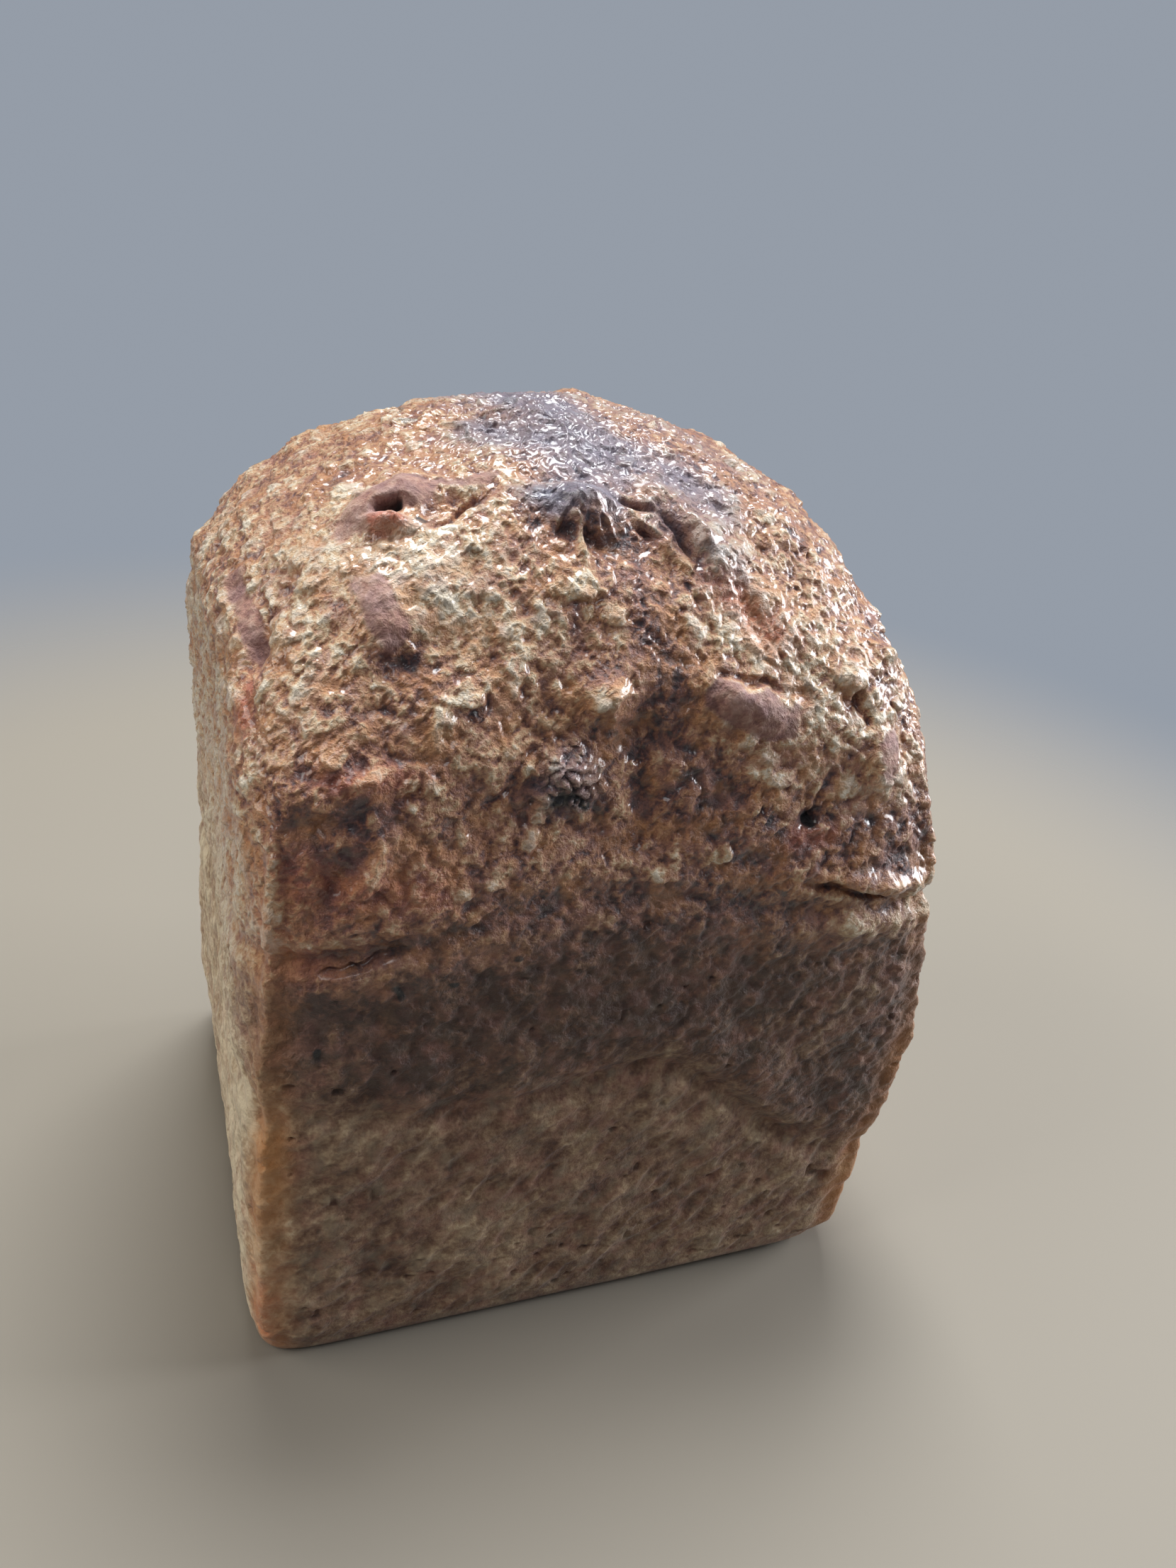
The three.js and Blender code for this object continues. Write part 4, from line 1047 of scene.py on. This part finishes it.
def stained(n, grain, color):
    """Gold, mauve, ember, scorch, smoke and char, each laid over the last and broken up by the grain; mauve
    is paler on the grain's tops as painted light, scorch is paler and bluer on its peaks and the smoke is a
    haze, both partly a painted bluish sheen, and char also stands for the painted shade of holes, the cave
    and pits.
    """
    scorch, peak = n.field("scorch"), n.field("peak")
    color = n.blend(n.times(n.field("gold"), 0.8), color, ORANGE_GOLD)
    # the mauve skin is painted paler on the grain's tops and darker in its gaps, painted light and painted
    # shade, and darker where browner
    skin = n.math("ADD", n.stretch(grain["relief"], 0.4, 0.8, 0.40, -0.30),
                  n.stretch(n.field("brown"), 0.05, 0.7), clamp=True)
    color = n.blend(n.times(n.field("mauve"), n.stretch(grain["coarse"], 0.35, 0.6, 0.95, 0.65)),
                    color, n.blend(skin, *MAUVE))
    color = n.blend(n.times(n.field("ember"), n.stretch(grain["relief"], 0.36, 0.78, 1.0, 0.5)), color, EMBER)
    # scorch darker in the gaps and paler, bluer on the peaks: a painted bluish sheen on the peaks
    grey = n.blend(n.times(peak, n.stretch(grain["middle"], 0.3, 0.65, 0.5, 1.2), clamp=True), *SCORCHED_AND_SHEEN)
    color = n.blend(n.times(scorch, n.stretch(grain["mottle_and_grain_shade"], -0.25, 0.25, 1.0, 0.65)), color, grey)
    # a lilac haze over the scorched crown: partly its colour, partly a painted bluish sheen
    smoke_and_sheen = n.times(n.stretch(scorch, 0.03, 0.5, 0.0, 0.55), n.stretch(grain["coarse"], 0.35, 0.6, 1.2, 0.7))
    # char, and painted shade in the holes, the cave and the pits, strongest in the gaps between peaks
    char_and_hole_shade = n.times(n.stretch(n.field("char_and_hole_shade"), 0.3, 0.65), n.stretch(peak, 0.5, 0.9, 1.0, 0.45))
    return n.blend(char_and_hole_shade, n.blend(smoke_and_sheen, color, SMOKE_AND_SHEEN), CHARRED_AND_HOLE_SHADE)


# %% [markdown]
# Last comes the gloss. Flaky crust is smoother than the dull wall and wears a thin glaze in patches,
# which the shader's coat stands for. A little sheen stands for the dust of flour and dry starch.

# %% The finish in all
GLAZE = {"Specular IOR Level": 0.7, "Coat Roughness": 0.17, "Sheen Weight": 0.14, "Sheen Roughness": 0.4,
         "Sheen Tint": (0.90, 0.92, 1.0, 1.0)}
DULL_ROUGHNESS = 0.72
BUMP_HEIGHT = 0.85  # mm that the surface rises where the grain's relief goes from 0 to 1


def crust_finish(name):
    """A material of the colour above, less rough and more coated the more the crust flakes, whose grain
    also raises the surface; each grain's top is painted paler than the gap beside it, as painted light
    and painted shade."""
    n = Nodes(name)
    where = n.add("ShaderNodeTexCoord", {}, "Object")
    grain, flaky = crust_grain(n, where), n.field("flaky")
    n.put(n.shader.inputs["Base Color"], stained(n, grain, tinted(n, where, grain, browned(n, grain))))
    smoother = n.math("ADD", n.stretch(grain["middle"], 0.35, 0.65, 0.20, 0.38),
                      n.times(n.stretch(grain["foil"], 0.36, 0.56), 0.12))
    n.put(n.shader.inputs["Roughness"], n.math("SUBTRACT", DULL_ROUGHNESS, n.times(flaky, smoother)))
    n.put(n.shader.inputs["Coat Weight"],
          n.times(n.stretch(flaky, 0.4, 0.9), n.stretch(grain["coarse"], 0.4, 0.6, 0.5, 1.0)))
    for socket, value in GLAZE.items():
        n.shader.inputs[socket].default_value = value
    n.put(n.shader.inputs["Normal"], n.add("ShaderNodeBump", {
        "Height": grain["relief"], "Strength": n.stretch(flaky, 0.0, 1.0, 0.45, 1.0),
        "Distance": BUMP_HEIGHT * MM}))
    return n.material


crust_material = crust_finish("baked_crust")
print("nodes in the finish:", len(crust_material.node_tree.nodes))

# %% [markdown]
# ## The crust in bands
# One mesh of the whole net would be too heavy to hand on, so the net is cut along rows into bands.
# Neighbouring bands share the same points along their border, and both take their shading directions
# from the whole net, so that no line shows between them. Each band is closed inside the loaf by a flat
# fan, out of sight.

# %% Cut the net into bands
BANDS = ["foot", "tin_wall_lower", "tin_wall_upper", "dome_foot", "dome_side", "dome_shoulder", "crown"]
band_rows = np.linspace(0, len(crust) - 1, len(BANDS) + 1).round().astype(int)
_, _, shading = net_directions(crust)


def band_faces(rows, columns):
    """Corner numbers of the squares between neighbouring rows, closed round the loaf."""
    row, column = np.meshgrid(np.arange(rows - 1), np.arange(columns), indexing="ij")
    after = (column + 1) % columns
    quads = [row * columns + column, row * columns + after, (row + 1) * columns + after,
             (row + 1) * columns + column]
    return np.stack(quads, -1).reshape(-1, 4)


def make_mesh(name, points, faces, material):
    """An object from points in millimetres and from lists of faces, each list of faces with as many
    corners. Its arrays go into the mesh whole, with no loop over points."""
    mesh = bpy.data.meshes.new(name)
    mesh.vertices.add(len(points))
    mesh.vertices.foreach_set("co", (points * MM).astype(np.float32).ravel())
    corners = np.concatenate([np.asarray(f, np.int32).ravel() for f in faces])
    sizes = np.concatenate([np.full(len(f), f.shape[1], np.int32) for f in faces])
    mesh.loops.add(len(corners))
    mesh.loops.foreach_set("vertex_index", corners)
    mesh.polygons.add(len(sizes))
    mesh.polygons.foreach_set("loop_start", np.concatenate([[0], sizes.cumsum()[:-1]]).astype(np.int32))
    mesh.polygons.foreach_set("use_smooth", np.ones(len(sizes), bool))
    mesh.update(calc_edges=True)
    mesh.materials.append(material)
    piece = bpy.data.objects.new(name, mesh)
    bpy.context.scene.collection.objects.link(piece)
    return piece


def paint(piece, name, values):
    """Keeps one number for each point of the mesh, for the material to read."""
    kept = piece.data.attributes.new(name, "FLOAT", "POINT")
    kept.data.foreach_set("value", values.astype(np.float32).ravel())


def fan(ring_start, columns, centre, up):
    """Triangles from a ring of points to one centre, facing up or down."""
    a = ring_start + np.arange(columns)
    b = ring_start + (np.arange(columns) + 1) % columns
    ring = [a, b] if up else [b, a]
    return np.stack([*ring, np.full(columns, centre)], -1)


def make_band(name, first, last):
    """Rows first to last of the net, closed below and above by fans to points on the loaf's axis."""
    points = crust[first:last + 1].reshape(-1, 3)
    rows = last + 1 - first
    low_centre, high_centre = crust[first].mean(0), crust[last].mean(0)
    if last == len(crust) - 1:
        high_centre = crown
    count = rows * COLUMNS
    faces = [band_faces(rows, COLUMNS), fan(0, COLUMNS, count, False),
             fan((rows - 1) * COLUMNS, COLUMNS, count + 1, True)]
    band = make_mesh(name, np.concatenate([points, [low_centre, high_centre]]), faces, crust_material)
    for field_name, values in fields.items():
        ends = [values[first].mean(), values[last].mean()]
        paint(band, field_name, np.concatenate([values[first:last + 1].ravel(), ends]))
    normals = np.concatenate([shading[first:last + 1].reshape(-1, 3), [[0, 0, -1], [0, 0, 1]]])
    band.data.normals_split_custom_set_from_vertices(normals.tolist())
    return band


pieces = [make_band(name, *rows) for name, rows in zip(BANDS, zip(band_rows[:-1], band_rows[1:]))]
print("bands:", {p.name: sum(len(f.vertices) - 2 for f in p.data.polygons) for p in pieces})

# %% [markdown]
# ## Attach the pieces
# Each piece rides on the loaf's one body. The plain solid is hidden: it stays for the physics, and these
# pieces stand for it.

# %% Ride and replace
for piece in pieces:
    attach(piece, "root")
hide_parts("loaf")
